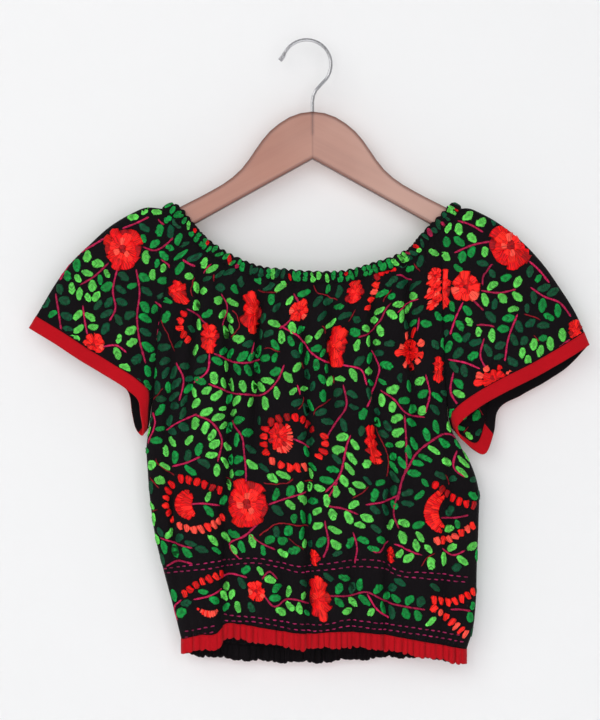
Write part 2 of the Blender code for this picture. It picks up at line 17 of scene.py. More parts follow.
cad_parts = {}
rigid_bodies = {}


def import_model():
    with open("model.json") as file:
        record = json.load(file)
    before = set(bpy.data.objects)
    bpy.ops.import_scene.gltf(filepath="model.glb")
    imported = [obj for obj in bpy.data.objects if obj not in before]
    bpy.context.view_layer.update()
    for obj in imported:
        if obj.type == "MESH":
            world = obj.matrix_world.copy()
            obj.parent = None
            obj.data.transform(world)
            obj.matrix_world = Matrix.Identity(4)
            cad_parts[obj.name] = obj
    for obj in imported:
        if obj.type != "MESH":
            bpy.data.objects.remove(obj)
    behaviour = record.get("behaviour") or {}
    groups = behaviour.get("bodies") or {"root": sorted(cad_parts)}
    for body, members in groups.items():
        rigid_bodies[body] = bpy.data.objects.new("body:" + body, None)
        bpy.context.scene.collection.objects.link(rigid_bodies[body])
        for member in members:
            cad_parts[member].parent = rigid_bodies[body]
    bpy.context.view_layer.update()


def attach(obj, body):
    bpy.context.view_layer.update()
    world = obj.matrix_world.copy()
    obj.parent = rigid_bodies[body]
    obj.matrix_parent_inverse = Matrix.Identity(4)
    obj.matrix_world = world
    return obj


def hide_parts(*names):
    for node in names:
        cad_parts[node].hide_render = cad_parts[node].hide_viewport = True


bl_info = {
    "name": "Crop top on a hanger",
    "version": (1, 0, 0),
    "blender": (4, 5, 0),
    "location": "3D Viewport > Sidebar > Crop top",
    "description": "Dresses a gathered crop top in cloth, stitched flowers and trim, on its hanger",
    "category": "Object",
}

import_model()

MM = 0.001

# Neck casing: a tunnel of folded cloth round an elastic, ruffled all the way round.
CASING_WIDTH = 10.0
CASING_RUFFLES = 84
COLUMNS_A_RUFFLE = 8
CASING_ROUND = 8
RUFFLE_PUFF = 1.15
RUFFLE_EDGE = 1.0
CASING_LAP = 0.9
BACK_NECK_DROP = 3.0
BACK_NECK_DEPTH = 0.95

# Middle line of the casing over the front, from one hanger arm to the other.
NECK_LINE = (
    # x, y, z, lean of its width in degrees
    (-138.5, 0, -166, 63), (-136.1, -6.4, -166.6, 61.5), (-130.5, -9.8, -169.6, 56),
    (-121.3, -10.6, -179.8, 50), (-107.1, -11.2, -196.9, 45), (-87, -11.6, -212.8, 32),
    (-69.6, -11.8, -222, 24), (-50.5, -12, -229.4, 13), (-14, -12, -234.2, 5), (4.6, -12, -235.5, 0),
    (42.2, -12, -234.2, -8), (68.7, -11.8, -226.4, -14), (93.2, -11.6, -218.2, -24),
    (106, -11.2, -211, -38), (118.4, -10.9, -196.5, -48), (134.9, -10.6, -179.6, -47),
    (144, -9.8, -170.6, -54), (147.8, -6.4, -166.7, -61.5), (149, 0, -165.9, -63),
)
RAGLAN_TOP = {-1: -113.0, 1: 127.0}

# Edges of the body panels: the raglan seam down to the underarm, then the side seam to the hem.
LEFT_EDGE = (
    # x, z
    (-130, -212), (-140, -248), (-146.5, -280), (-150, -320), (-153.5, -358), (-156, -384), (-159.1, -402),
    (-158, -430), (-154.9, -465), (-150.3, -496), (-141.6, -531), (-132.8, -564), (-124.6, -597),
)
RIGHT_EDGE = (
    # x, z
    (133.5, -216), (135, -268), (137, -320), (139.5, -358), (142.5, -384), (151.7, -402.5), (162.4, -419.8),
    (171, -446), (171.3, -480), (169.6, -525), (168.4, -564), (165.5, -588), (159.5, -607),
)
UNDERARM_Z = -384.0
RAGLAN_ROWS = 54
SIDE_ROWS = 74

# Which way the cloth faces along the panel edges: 0 to 1 down the raglan seam, 2 the side seam.
SEAM_FACING = (
    # place, sideways, out, up
    (0, 0.25, 1, 0), (0.5, 0.45, 1, 0), (0.85, 0.5, 1, 0), (1, 0.7, 0.6, -0.4), (2, 1, 0, 0),
)

# Seams between the body panels and the hem band. The front one steps up at the deep fold.
FRONT_HEM = (
    # x, z
    (-124.6, -597), (-104.7, -591.5), (-87.5, -588.5), (-81.5, -581.5), (-66.3, -580.5), (-46.8, -583.5),
    (-20.5, -587.7), (0, -590), (23, -588.2), (40, -587.8), (74, -590.5), (100.6, -595), (132.8, -601.2),
    (159.5, -607),
)
BACK_HEM = (
    # x, z
    (-124.6, -597), (-95, -601.5), (-45, -606), (0, -607.5), (50, -604.5), (100, -602), (135, -604),
    (159.5, -607),
)
BAND_HEIGHT = 15.0
BAND_PLEATS = 48
PLEAT_COLUMNS = 8
BAND_ROWS = 8
BAND_PLEAT_DEPTH = 0.8
BAND_PULL_IN = 2.0
BAND_EDGE = 1.3

# How far the panels stand from the middle plane, by share of the way from neck to hem.
PANEL_DEPTH = (
    # share, front middle, back middle, at the edges
    (0, 12, 11.4, 10.7), (0.12, 15.5, 13, 9.6), (0.3, 20, 14.5, 6.6), (0.44, 22, 15.5, 2.8),
    (0.47, 22.3, 15.8, 2.6), (0.52, 22.5, 16, 0), (0.75, 22, 16, 0), (1, 19, 15, 0),
)
EDGE_POWER = 2.6
FLAT_WIDTH = 400.0
PANEL_LENGTH = 372.0

# Creases that run down from the gathers or up from the hem.
FRONT_FOLDS = (
    # x at the neck, halfway, at the hem, starts, ends, depth, half width
    (-98, -118, -112, 0, 0.58, 7.6, 8), (-80, -75, -85, 0.03, 1.15, 9.6, 9),
    (-43, -49, -47, 0, 0.64, 9.6, 9), (-8, 2.5, 2, 0.06, 1.15, 8.6, 8.2), (18, 25, 24, 0, 0.56, 8.2, 8),
    (59, 66, 66, 0, 0.68, 9.2, 8.8), (82, 82, 79, 0.42, 1.15, 8.4, 8.2), (93, 105, 110, 0, 0.66, 8, 8),
    (-105, -137, -104, 0.1, 0.9, 5.5, 8), (-62, -60, -64, 0, 0.26, 5, 6), (-26, -22, -24, 0, 0.3, 5.2, 6),
    (38, 45, 48, 0, 0.3, 5.2, 6), (76, 88, 92, 0, 0.24, 5, 6), (-100, -128, -126, 0.55, 1.15, 4.6, 6.5),
    (120, 138, 134, 0.3, 1.15, 5.4, 7), (-20, -24, -22, 0.7, 1.15, 4.6, 6.5),
    (40, 45, 46, 0.66, 1.15, 4.6, 6.5),
)
BACK_FOLDS = (
    # x at the neck, halfway, at the hem, starts, ends, depth, half width
    (-84, -118, -86, 0, 0.58, 4.5, 11), (-51, -78, -62, 0, 1.1, 5, 12), (-20, -33, -11, 0, 0.62, 4.5, 11),
    (10, 9, 29, 0, 1.1, 4.5, 12), (42, 46, 56, 0, 0.62, 4.5, 11), (75, 92, 102, 0, 1.1, 5, 12),
    (104, 122, 128, 0, 0.54, 4.5, 11),
)

# Sleeves. Round the ring, 0 is the shoulder fold, 0.5 the underarm, and 1 the shoulder again.
LEFT_SHOULDER = (
    # x, z along the fold from the casing to the outer corner
    (-161.5, -167.2), (-174, -172.5), (-197.2, -186.6), (-215.1, -202.6), (-238.3, -225.8),
    (-250.8, -243.4), (-264, -265.5),
)
LEFT_CUFF = (
    # ring, x, y, z of the sleeve's free edge
    (0, -276.7, 0, -286.9), (0.01, -276.2, -3.4, -287.2), (0.035, -268.5, -8.5, -291.6),
    (0.1, -250.8, -11, -302.1), (0.18, -227.6, -13, -317.3), (0.28, -200.8, -14, -333.3),
    (0.37, -177.6, -14.5, -348.5), (0.425, -166.2, -15, -360.5), (0.46, -164.6, -13.5, -373.5),
    (0.482, -162.6, -11.5, -385), (0.5, -163.6, -4.5, -392.6), (0.54, -170.6, 0.5, -387.5),
    (0.585, -174.8, 4.5, -372), (0.64, -178, 7.5, -353), (0.74, -201, 9.5, -331), (0.86, -238, 9.5, -308),
    (0.96, -267.5, 8, -292), (0.99, -276.2, 3.4, -287.2), (1, -276.7, 0, -286.9),
)
RIGHT_SHOULDER = (
    # x, z along the fold from the casing to the outer corner
    (161, -167.6), (173.5, -172.4), (198.5, -187.4), (212.8, -199), (237.8, -225.8), (252.1, -246.2),
    (268, -271.5),
)
RIGHT_CUFF = (
    # ring, x, y, z of the sleeve's free edge
    (0, 282, 0, -303.5), (0.01, 281.4, -3.6, -303.9), (0.035, 272.5, -9, -309.5), (0.13, 234.2, -12, -332),
    (0.24, 198.5, -14, -350), (0.33, 173.5, -14.5, -364), (0.41, 154.5, -14, -379),
    (0.45, 149.6, -12, -386.5), (0.478, 152.6, -8, -394), (0.5, 159.5, 0, -400.5), (0.57, 180.3, 5, -411.5),
    (0.61, 188, 9, -392), (0.66, 191.5, 11, -371.5), (0.76, 217, 12, -353.5), (0.86, 243.5, 11.5, -338.5),
    (0.96, 271, 9, -317), (0.99, 281.4, 3.6, -304.5), (1, 282, 0, -303.5),
)
RING_AT_RAGLAN = 0.085
RING_BY_UNDERARM = 0.49
UNDERARM_DROP = 1.4
SLEEVE_BULGE = 5.0
OVER_ARM_COLUMNS = 26
SLEEVE_ROWS = 72
UNDERARM_ROOM = 2.2
CUFF_WIDTH = 14.0
CUFF_ROWS = 6
CUFF_TURNS_RED = -388.0  # below it the cuffs are red inside too, where they come round under the arm
FAN_FOLDS, FAN_DEPTH = 5.5, 1.1
SHOULDER_GATHERS, SHOULDER_GATHER_DEPTH = 74, 0.9

# Soft waves in the cloth. Gathers: how many across a panel, depth, reach down or up, and seed.
NECK_GATHERS = ((84, 0.95, 8.0, 1), (47, 1.4, 24.0, 2), (31, 1.9, 58.0, 3))
HEM_GATHERS = ((48, 0.7, 7.0, 4), (27, 1.2, 26.0, 5))
# Rumples: size and share. Wander of an edge: turns, lag by seed, and share.
RUMPLES = ((74.0, 1.0), (47.0, 0.7), (29.0, 0.4))
WANDER = ((7, 0.13, 1.0), (17, 0.37, 0.7), (31, 0.71, 0.5))
FRONT_COLUMNS, BACK_COLUMNS = 240, 180

# Where the hook's shank stands, and the grain of the two arms meets.
SHANK_X = 6.0


def through(knots, values, at):
    """Values at some places on the smooth curve through a table's rows."""
    knots = np.asarray(knots, float)
    values = np.asarray(values, float)
    at = np.asarray(at, float)
    slopes = np.gradient(values, knots, axis=0)
    i = np.clip(np.searchsorted(knots, at, side="right") - 1, 0, len(knots) - 2)
    span = knots[i + 1] - knots[i]
    p = (at - knots[i]) / span
    if values.ndim > 1:
        p, span = p[..., None], span[..., None]
    return (
        values[i] * (1 + 2 * p) * (1 - p) ** 2
        + slopes[i] * span * p * (1 - p) ** 2
        + values[i + 1] * p * p * (3 - 2 * p)
        + slopes[i + 1] * span * p * p * (p - 1)
    )


def run_along(points):
    """The distance run at each point of a line."""
    return np.concatenate([[0.0], np.cumsum(np.linalg.norm(np.diff(points, axis=0), axis=1))])


def read_off(table, knots, at):
    """A table's columns at some places between the knots of its rows."""
    return np.stack([np.interp(at, knots, column) for column in table.T], -1)


def along(rows, shares):
    """Points at shares of the length of the smooth curve through the rows."""
    rows = np.asarray(rows, float)
    knots = run_along(rows)
    return through(knots / knots[-1], rows, shares)


def fade(value):
    """0 below 0, 1 above 1, and smooth between."""
    value = np.clip(value, 0, 1)
    return value * value * (3 - 2 * value)


def unit(vectors):
    return vectors / np.linalg.norm(vectors, axis=-1, keepdims=True)


class NeckRing:
    """The casing's middle line with its directions: along, towards the neck, and outwards."""

    SAMPLES = 1440

    def __init__(self):
        front = np.array(NECK_LINE)
        back = front[-2:0:-1] * (1, -BACK_NECK_DEPTH, 1, 1)
        middle = np.sin(np.pi * (back[:, 0] - front[0, 0]) / (front[-1, 0] - front[0, 0]))
        back[:, 2] -= BACK_NECK_DROP * middle**2
        rows = np.concatenate([front, back])
        wrapped = np.concatenate([rows[-3:], rows, rows[:3]])
        knots = run_along(wrapped[:, :3])
        fine = through(knots, wrapped, np.linspace(knots[3], knots[-3], self.SAMPLES + 1))
        lengths = run_along(fine[:, :3])
        self.share = np.linspace(0, 1, self.SAMPLES + 1)
        even = read_off(fine, lengths / lengths[-1], self.share)
        self.middle = even[:, :3]
        ahead = np.roll(self.middle[:-1], -4, 0) - np.roll(self.middle[:-1], 4, 0)
        tangent = unit(np.concatenate([ahead, ahead[:1]]))
        lean = np.radians(even[:, 3])
        up = np.stack([np.sin(lean), np.zeros_like(lean), np.cos(lean)], 1)
        self.towards_neck = unit(up - tangent * (up * tangent).sum(1, keepdims=True))
        self.outwards = np.cross(tangent, self.towards_neck)

    def read(self, table, share):
        return read_off(table, self.share, np.asarray(share, float) % 1.0)

    def at(self, share, width=0.0, out=0.0):
        """Points at shares of the ring, moved across the casing and out of it."""
        width, out = np.broadcast_arrays(width, out)
        across = self.read(self.towards_neck, share) * width[..., None]
        return self.read(self.middle, share) + across + self.facing(share) * out[..., None]

    def facing(self, share):
        return self.read(self.outwards, share)

    def share_at(self, x, behind):
        """Where the ring passes a place across the body, in front or behind."""
        half = self.share[:-1] > 0.5 if behind else self.share[:-1] <= 0.5
        found = np.where(half, abs(self.middle[:-1, 0] - x), np.inf)
        return self.share[int(found.argmin())]


RING = NeckRing()


def panel_depth(share, column):
    table = np.array(PANEL_DEPTH)
    return np.maximum(through(table[:, 0], table[:, column], share), 0)


def raglan_top(side, behind):
    """Where on the neck ring a raglan seam starts."""
    return RING.share_at(RAGLAN_TOP[side], behind)


def crease(table, u, v, left, right):
    """How far the folds press the cloth in, over flat places u and shares v down the panel."""
    total = np.zeros(np.broadcast(u, v).shape)
    for neck, halfway, hem, starts, ends, depth, half in table:
        x = neck * (1 - v) * (1 - 2 * v) + 4 * halfway * v * (1 - v) + hem * v * (2 * v - 1)
        place = FLAT_WIDTH * (x - left) / (right - left)
        strength = fade((v - starts) / 0.10) * fade((ends - v) / 0.30)
        total += depth * strength * np.exp(-(((u - place) / half) ** 2))
    return total


def grid_facing(grid, closed):
    """Directions square to a grid of rows; closed joins the last column to the first."""
    down = np.gradient(grid, axis=0)
    if closed:
        across = np.roll(grid, -1, 1) - np.roll(grid, 1, 1)
    else:
        across = np.gradient(grid, axis=1)
    return unit(np.cross(down, across))


def ruffle(turns, place, cusp=0.85):
    """A gathered edge's wave: rounded puffs with sharp valleys between them."""
    return 2 * abs(np.sin(np.pi * turns * place)) ** cusp - 1


def wobble(place, amount, seed):
    """A slow wander along an edge, so that gathers aren't evenly spaced; place runs from 0 to 1."""
    total = 0.0
    for turns, lag, share in WANDER:
        total = total + share * np.sin(2 * np.pi * (turns * place + lag * seed))
    return amount * total


def rumple(x, z, seed):
    """Soft uneven hollows in hanging cloth, over flat places in millimetres."""
    total = 0.0
    turn = 0.9 * seed
    for size, share in RUMPLES:
        turn += 2.4
        lean = 0.35 * math.sin(turn)
        total = total + share * np.sin(2 * np.pi * (x + lean * z) / size + turn) * np.sin(
            2 * np.pi * (0.45 * z - lean * x) / size + 1.7 * turn
        )
    return total


def gathers(place, below, above, hem_place):
    """Small folds that run out of the neck casing and up from the hem, over a panel."""
    total = np.zeros(np.broadcast(place, below).shape)
    edges = ((NECK_GATHERS, place, 0.0016, below), (HEM_GATHERS, hem_place, 0.003, above))
    for table, at, wander, away in edges:
        for count, depth, reach, seed in table:
            wave = ruffle(count, at + wobble(at, wander, seed), 1.1)
            total += depth * wave * np.exp(-away / reach)
    return total


def panel_seam(side, behind):
    """A body panel's edge at each of its rows: shares of its length, points, and facings."""
    place = raglan_top(side, behind)
    top = RING.at(place, -CASING_WIDTH / 2)
    flat = np.concatenate([[top[[0, 2]]], np.array(LEFT_EDGE if side < 0 else RIGHT_EDGE)])
    lengths = run_along(flat)
    underarm = np.interp(-UNDERARM_Z, -flat[:, 1], lengths / lengths[-1])
    raglan = np.linspace(0, underarm, RAGLAN_ROWS + 1)
    shares = np.concatenate([raglan, np.linspace(underarm, 1, SIDE_ROWS + 1)[1:]])
    found = along(flat, shares)
    out = 1 if behind else -1
    points = np.stack([found[:, 0], out * panel_depth(shares, 3), found[:, 1]], 1)
    points[0] = top
    table = np.array(SEAM_FACING)
    below = 1 + np.clip(np.arange(1, SIDE_ROWS + 1) / (0.12 * SIDE_ROWS), 0, 1)
    reach = np.concatenate([np.linspace(0, 1, RAGLAN_ROWS + 1), below])
    facing = unit(read_off(table[:, 1:], table[:, 0], reach) * (side, out, 1))
    facing[0] = RING.facing(place)
    return shares, points, facing


def body_panel(behind, columns, table, rumpled):
    """Middle surface of the front or the back from the casing to the hem, and its facings."""
    left_share, left, left_facing = panel_seam(-1, behind)
    right_share, right, right_facing = panel_seam(1, behind)
    v = (left_share + right_share)[:, None] / 2
    fine = np.linspace(0, 1, 401)
    pressed = crease(table, fine[None] * FLAT_WIDTH, v, left[:, :1], right[:, :1])
    climb = np.gradient(pressed, FLAT_WIDTH * fine, axis=1)
    level = np.sqrt(np.maximum(1 - climb**2, 0.05))
    hung = np.cumsum(level, axis=1) - level[:, :1]
    hung /= hung[:, -1:]
    u = np.linspace(0, 1, columns + 1)
    across = np.stack([np.interp(u, fine, row) for row in hung])
    pressed = np.stack([np.interp(u, fine, row) for row in pressed])

    low, high = raglan_top(-1, behind), raglan_top(1, behind)
    top = RING.at(low + (high - low) * across, -CASING_WIDTH / 2)[..., [0, 2]]
    hem = np.array(BACK_HEM if behind else FRONT_HEM)
    bottom_x = hem[0, 0] + (hem[-1, 0] - hem[0, 0]) * across
    bottom = np.stack([bottom_x, through(hem[:, 0], hem[:, 1], bottom_x)], -1)
    s, t = across[..., None], v[..., None]
    a, b = left[:, None, [0, 2]], right[:, None, [0, 2]]
    flat = (
        (1 - t) * (top - (1 - s) * a[0] - s * b[0])
        + t * (bottom - (1 - s) * a[-1] - s * b[-1])
        + (1 - s) * a
        + s * b
    )
    below, above = PANEL_LENGTH * v, PANEL_LENGTH * (1 - v)
    small = gathers(low + (high - low) * across, below, above, across)
    small = small - rumpled * rumple(flat[..., 0], flat[..., 1], 2 if behind else 1) * fade(4 * v)
    round_off = (1 - abs(2 * across - 1) ** EDGE_POWER) ** (1 / EDGE_POWER)
    edge = abs((1 - across) * left[:, 1:2] + across * right[:, 1:2])
    room = fade(np.minimum(across, 1 - across) / 0.06)
    depth = edge + np.maximum(panel_depth(v, 2 if behind else 1) - edge, 0) * round_off
    depth = np.maximum(depth - pressed * room, edge * 0.6) + small * room
    out = 1 if behind else -1
    grid = np.stack([flat[..., 0], out * depth, flat[..., 1]], -1)
    grid[:, 0], grid[:, -1] = left, right
    grid[0] = RING.at(low + (high - low) * across[0], -CASING_WIDTH / 2)
    facing = grid_facing(grid, closed=False) * -out
    facing[0] = RING.facing(low + (high - low) * across[0])
    facing[:, 0], facing[:, -1] = left_facing, right_facing
    return grid, facing


def hem_band(seam, seam_facing, seed):
    """Middle surface of half the hem band below a panel's last row, gathered by its elastic."""
    share = np.linspace(0, 1, PLEAT_COLUMNS * BAND_PLEATS + 1)
    knots = np.linspace(0, 1, len(seam))
    seam, seam_facing = read_off(seam, knots, share), unit(read_off(seam_facing, knots, share))
    out = np.sign(seam[len(seam) // 2, 1])
    ends = fade(np.minimum(share, 1 - share) / 0.04)
    place = share + wobble(share, 0.0025, seed)
    strength = 1 + 0.35 * np.sin(2 * np.pi * 5.3 * share + seed)
    edge = wobble(share, 0.9, seed + 2) * ends
    pleat = BAND_PLEAT_DEPTH * strength * ruffle(BAND_PLEATS, place, 0.8) * ends
    rows = []
    for down in np.linspace(0, 1, BAND_ROWS + 1):
        row = seam.copy()
        belly = math.sin(math.pi * min(down * 1.15, 1.0)) ** 0.6
        row[:, 1] += out * ((0.45 + 0.55 * belly) * pleat - BAND_PULL_IN * down * ends)
        row[:, 1] += out * 0.5 * belly * ends
        row[:, 2] -= BAND_HEIGHT * down + BAND_EDGE * pleat * down**2 + edge * down**3
        rows.append(row)
    grid = np.array(rows)
    facing = grid_facing(grid, closed=False) * -out
    facing[0] = seam_facing
    facing[:, 0], facing[:, -1] = (-1, 0, 0), (1, 0, 0)
    return grid, facing


def sleeve_ring(side):
    """Places round a sleeve, and its seam there: over the arm, then down the raglan seams."""
    halves = []
    crossing = 0.0 if side < 0 else RING.share_at(NECK_LINE[-1][0], False)
    for behind in (False, True):
        start = 1.0 if side < 0 and behind else crossing
        reach = (np.arange(OVER_ARM_COLUMNS) / OVER_ARM_COLUMNS) ** 1.4
        share = start + (raglan_top(side, behind) - start) * reach
        over = RING.at(share, -CASING_WIDTH / 2)
        _, seam, facing = panel_seam(side, behind)
        seam, facing = seam[: RAGLAN_ROWS + 1], facing[: RAGLAN_ROWS + 1]
        rows = np.arange(RAGLAN_ROWS + 1) / RAGLAN_ROWS
        place = RING_AT_RAGLAN + (RING_BY_UNDERARM - RING_AT_RAGLAN) * rows
        place = np.concatenate([RING_AT_RAGLAN * reach, place])
        points = np.concatenate([over, seam])
        points[:, 0] += side * UNDERARM_ROOM * fade((place - 0.38) / 0.12)
        halves.append((place, points, unit(np.concatenate([RING.facing(share), facing]))))
    front, back = halves
    lowest = (front[1][-1] + back[1][-1]) / 2 + (0, 0, -UNDERARM_DROP)
    return (
        np.concatenate([front[0], [0.5], 1 - back[0][:0:-1]]),
        np.concatenate([front[1], [lowest], back[1][:0:-1]]),
        np.concatenate([front[2], [unit(np.array((0.5 * side, 0, -0.9)))], back[2][:0:-1]]),
    )


def sleeve_and_cuff(side, rumpled):
    """Middle surfaces of a sleeve and of the band on its free edge, with their facings."""
    ring, seam, seam_facing = sleeve_ring(side)
    table = np.array(RIGHT_CUFF if side > 0 else LEFT_CUFF)
    outer = through(table[:, 0], table[:, 1:], ring)
    t = np.linspace(0, 1, 121)
    lines = seam[None] * (1 - t[:, None, None]) + outer[None] * t[:, None, None]
    fold = np.array(RIGHT_SHOULDER if side > 0 else LEFT_SHOULDER)
    fold = np.concatenate([[seam[0, [0, 2]]], fold, [outer[0, [0, 2]]]])
    bow = along(fold, t) - (fold[0] * (1 - t[:, None]) + fold[-1] * t[:, None])
    hold = (0.5 + 0.5 * np.cos(2 * np.pi * ring)) ** 1.5
    lines[..., [0, 2]] += bow[:, None] * hold[None, :, None]
    lines[..., 1] -= SLEEVE_BULGE * np.sin(np.pi * t)[:, None] * np.sin(2 * np.pi * ring)[None]

    flat_side = abs(np.sin(2 * np.pi * ring))[None]
    face = np.sign(np.sin(2 * np.pi * ring))[None]
    middle = fade(4 * t)[:, None] * fade(5 * (1 - t))[:, None]
    soft = rumple(lines[..., 0], lines[..., 2], 3 if side < 0 else 4)
    rays = np.sin(2 * np.pi * (FAN_FOLDS * ring + 0.2 * side))[None]
    rays = rays * np.exp(-((t - 0.45) / 0.3) ** 2)[:, None]
    lines[..., 1] -= face * flat_side * middle * (rumpled * soft + FAN_DEPTH * rays)
    near = np.minimum(ring, 1 - ring)
    drawn = fade((0.16 - near) / 0.08) * np.sin(2 * np.pi * near * SHOULDER_GATHERS + 1)
    drawn = drawn[None] * np.exp(-t * 9)[:, None] * fade(t * 30)[:, None]
    lines[..., 1] -= SHOULDER_GATHER_DEPTH * face * drawn

    columns = []
    for line in np.swapaxes(lines, 0, 1):
        lengths = run_along(line)
        end = lengths[-1]
        width = min(CUFF_WIDTH, 0.65 * end)
        cloth = np.linspace(0, end - width, SLEEVE_ROWS + 1)
        at = np.concatenate([cloth, np.linspace(end - width, end, CUFF_ROWS + 1)])
        columns.append(read_off(line, lengths, at))
    grid = np.swapaxes(np.array(columns), 0, 1)
    facing = grid_facing(grid, closed=True)
    facing *= np.sign((facing[SLEEVE_ROWS // 2] * seam_facing).sum())
    facing[0] = seam_facing
    joined = unit(facing[SLEEVE_ROWS] + facing[SLEEVE_ROWS + 1])
    facing[SLEEVE_ROWS] = facing[SLEEVE_ROWS + 1] = joined
    cut = SLEEVE_ROWS + 1
    return (grid[:cut], facing[:cut]), (grid[cut:], facing[cut:])


def cloth_wall(name, surface, thickness, closed, finishes, lined_above=None):
    """A closed wall round a middle surface, with its flat places in decimetres as UVs.

    The first finish is the outer skin's, and the last the inner skin's and the edges'. Where
    lined_above is given, the last is on the inner skin alone, and only in the columns of faces
    above that height.
    """
    grid, facing = surface
    rows, columns = grid.shape[:2]
    skins = [grid + facing * thickness / 2, grid - facing * thickness / 2]
    points = np.concatenate([s.reshape(-1, 3) for s in skins])
    wide = np.arange(columns if closed else columns - 1)
    r, c = np.meshgrid(np.arange(rows - 1), wide, indexing="ij")
    a = (r * columns + c).ravel()
    b = (r * columns + (c + 1) % columns).ravel()
    second = rows * columns
    outer = np.stack([a, a + columns, b + columns, b], 1)
    inner = np.stack([a, b, b + columns, a + columns], 1) + second
    edges = []
    for row in (0, rows - 1):
        a, b = row * columns + wide, row * columns + (wide + 1) % columns
        edge = [a, b, b + second, a + second] if row == 0 else [a, a + second, b + second, b]
        edges.append(np.stack(edge, 1))
    if not closed:
        for column in (0, columns - 1):
            a = np.arange(rows - 1) * columns + column
            b = a + columns
            edge = [a, a + second, b + second, b] if column == 0 else [a, b, b + second, a + second]
            edges.append(np.stack(edge, 1))
    quads = np.concatenate([outer, inner, *edges])
    middle = grid[rows // 2]
    wound = np.cross(grid[rows // 2 + 1] - middle, np.roll(middle, -1, 0) - middle)[:-1]
    if (wound * facing[rows // 2, :-1]).sum() < 0:
        quads = quads[:, ::-1]
    across = np.cumsum(np.linalg.norm(np.diff(grid, axis=1, prepend=grid[:, :1]), axis=2).mean(0))
    down = np.cumsum(np.linalg.norm(np.diff(grid, axis=0, prepend=grid[:1]), axis=2).mean(1))
    flat = np.stack(np.broadcast_arrays(across[None], down[:, None]), -1).reshape(-1, 2) / 100
    made = solid(name, points, quads, finishes, np.concatenate([flat, flat]))
    if len(finishes) > 1:
        side = np.ones(len(quads), int)
        side[: len(outer)] = 0
        if lined_above is not None:
            side[len(outer) + len(inner) :] = 0
            low = grid[..., 2].mean(0)[c.ravel()] < lined_above
            side[len(outer) : len(outer) + len(inner)][low] = 0
        made.data.polygons.foreach_set("material_index", side)
    return made


def placed(name, data):
    """A new object in the scene."""
    made = bpy.data.objects.new(name, data)
    bpy.context.scene.collection.objects.link(made)
    return made


def solid(name, points, faces, finishes, flat=None, dyes=None):
    """A mesh object from points in millimetres, with UVs and thread colours where they are given."""
    mesh = bpy.data.meshes.new(name)
    points = np.asarray(points, float) * MM
    faces = np.asarray(faces, np.int32)
    mesh.vertices.add(len(points))
    mesh.vertices.foreach_set("co", points.ravel())
    mesh.loops.add(faces.size)
    mesh.loops.foreach_set("vertex_index", faces.ravel())
    mesh.polygons.add(len(faces))
    mesh.polygons.foreach_set("loop_start", np.arange(len(faces), dtype=np.int32) * faces.shape[1])
    mesh.polygons.foreach_set("loop_total", np.full(len(faces), faces.shape[1], np.int32))
    if flat is not None:
        layer = mesh.uv_layers.new(name="cut")
        layer.uv.foreach_set("vector", np.asarray(flat, float)[faces.ravel()].ravel())
    if dyes is not None:
        layer = mesh.color_attributes.new("dye", "FLOAT_COLOR", "POINT")
        colours = np.concatenate([np.asarray(dyes, float), np.ones((len(dyes), 1))], 1)
        layer.data.foreach_set("color", colours.ravel())
    mesh.update(calc_edges=True)
    mesh.validate()
    for finish in finishes:
        mesh.materials.append(finish)
    mesh.shade_smooth()
    return placed(name, mesh)


def casing_at(share, across, out=0.0):
    """Points on the casing's ruffled outside; across runs from -1 below to 1 at the neck."""
    share, across, out = np.broadcast_arrays(share, across, out)
    place = share + wobble(share % 1.0, 0.0011, 6)
    strength = 1 + 0.3 * np.sin(2 * np.pi * 11 * share) + 0.2 * np.sin(2 * np.pi * 29 * share + 2)
    wave = strength * ruffle(CASING_RUFFLES, place)
    belly = np.sqrt(np.clip(1 - across**2, 0, 1))
    width = CASING_WIDTH * across / 2 + RUFFLE_EDGE * wave * np.clip(across, 0, 1)
    width = width - CASING_LAP * np.clip(-across, 0, 1)
    height = 0.9 + 1.7 * belly + RUFFLE_PUFF * wave * (0.35 + 0.65 * belly)
    return RING.at(share, width, height + out)


def casing_inside(share, across):
    """Points on the casing's inside, against the hanger and the wearer."""
    share, across = np.broadcast_arrays(share, across)
    belly = np.sqrt(np.clip(1 - across**2, 0, 1))
    wave = ruffle(CASING_RUFFLES, share + wobble(share % 1.0, 0.0011, 6))
    width = CASING_WIDTH * across / 2 + RUFFLE_EDGE * wave * np.clip(across, 0, 1)
    return RING.at(share, width, 0.4 - 2.1 * belly)


def casing_tunnel(name, finish):
    """The neck casing: a section carried round the ring over each ruffle."""
    columns = CASING_RUFFLES * COLUMNS_A_RUFFLE
    share = np.arange(columns) / columns
    turn = np.linspace(-1, 1, CASING_ROUND + 1)
    outer = [casing_at(share, math.sin(math.pi * v / 2)) for v in turn]
    inner = [casing_inside(share, math.sin(math.pi * v / 2)) for v in turn[::-1]]
    grid = np.array(outer + inner)
    sides = len(grid)
    r, c = np.meshgrid(np.arange(sides), np.arange(columns), indexing="ij")
    a, b = (r * columns + c).ravel(), (r * columns + (c + 1) % columns).ravel()
    up = ((r + 1) % sides * columns + c).ravel()
    next_up = ((r + 1) % sides * columns + (c + 1) % columns).ravel()
    flat = np.stack(np.broadcast_arrays(share[None] * 7.0, np.linspace(0, 0.3, sides)[:, None]), -1)
    quads = np.stack([a, b, next_up, up], 1)
    return solid(name, grid.reshape(-1, 3), quads, [finish], flat.reshape(-1, 2))


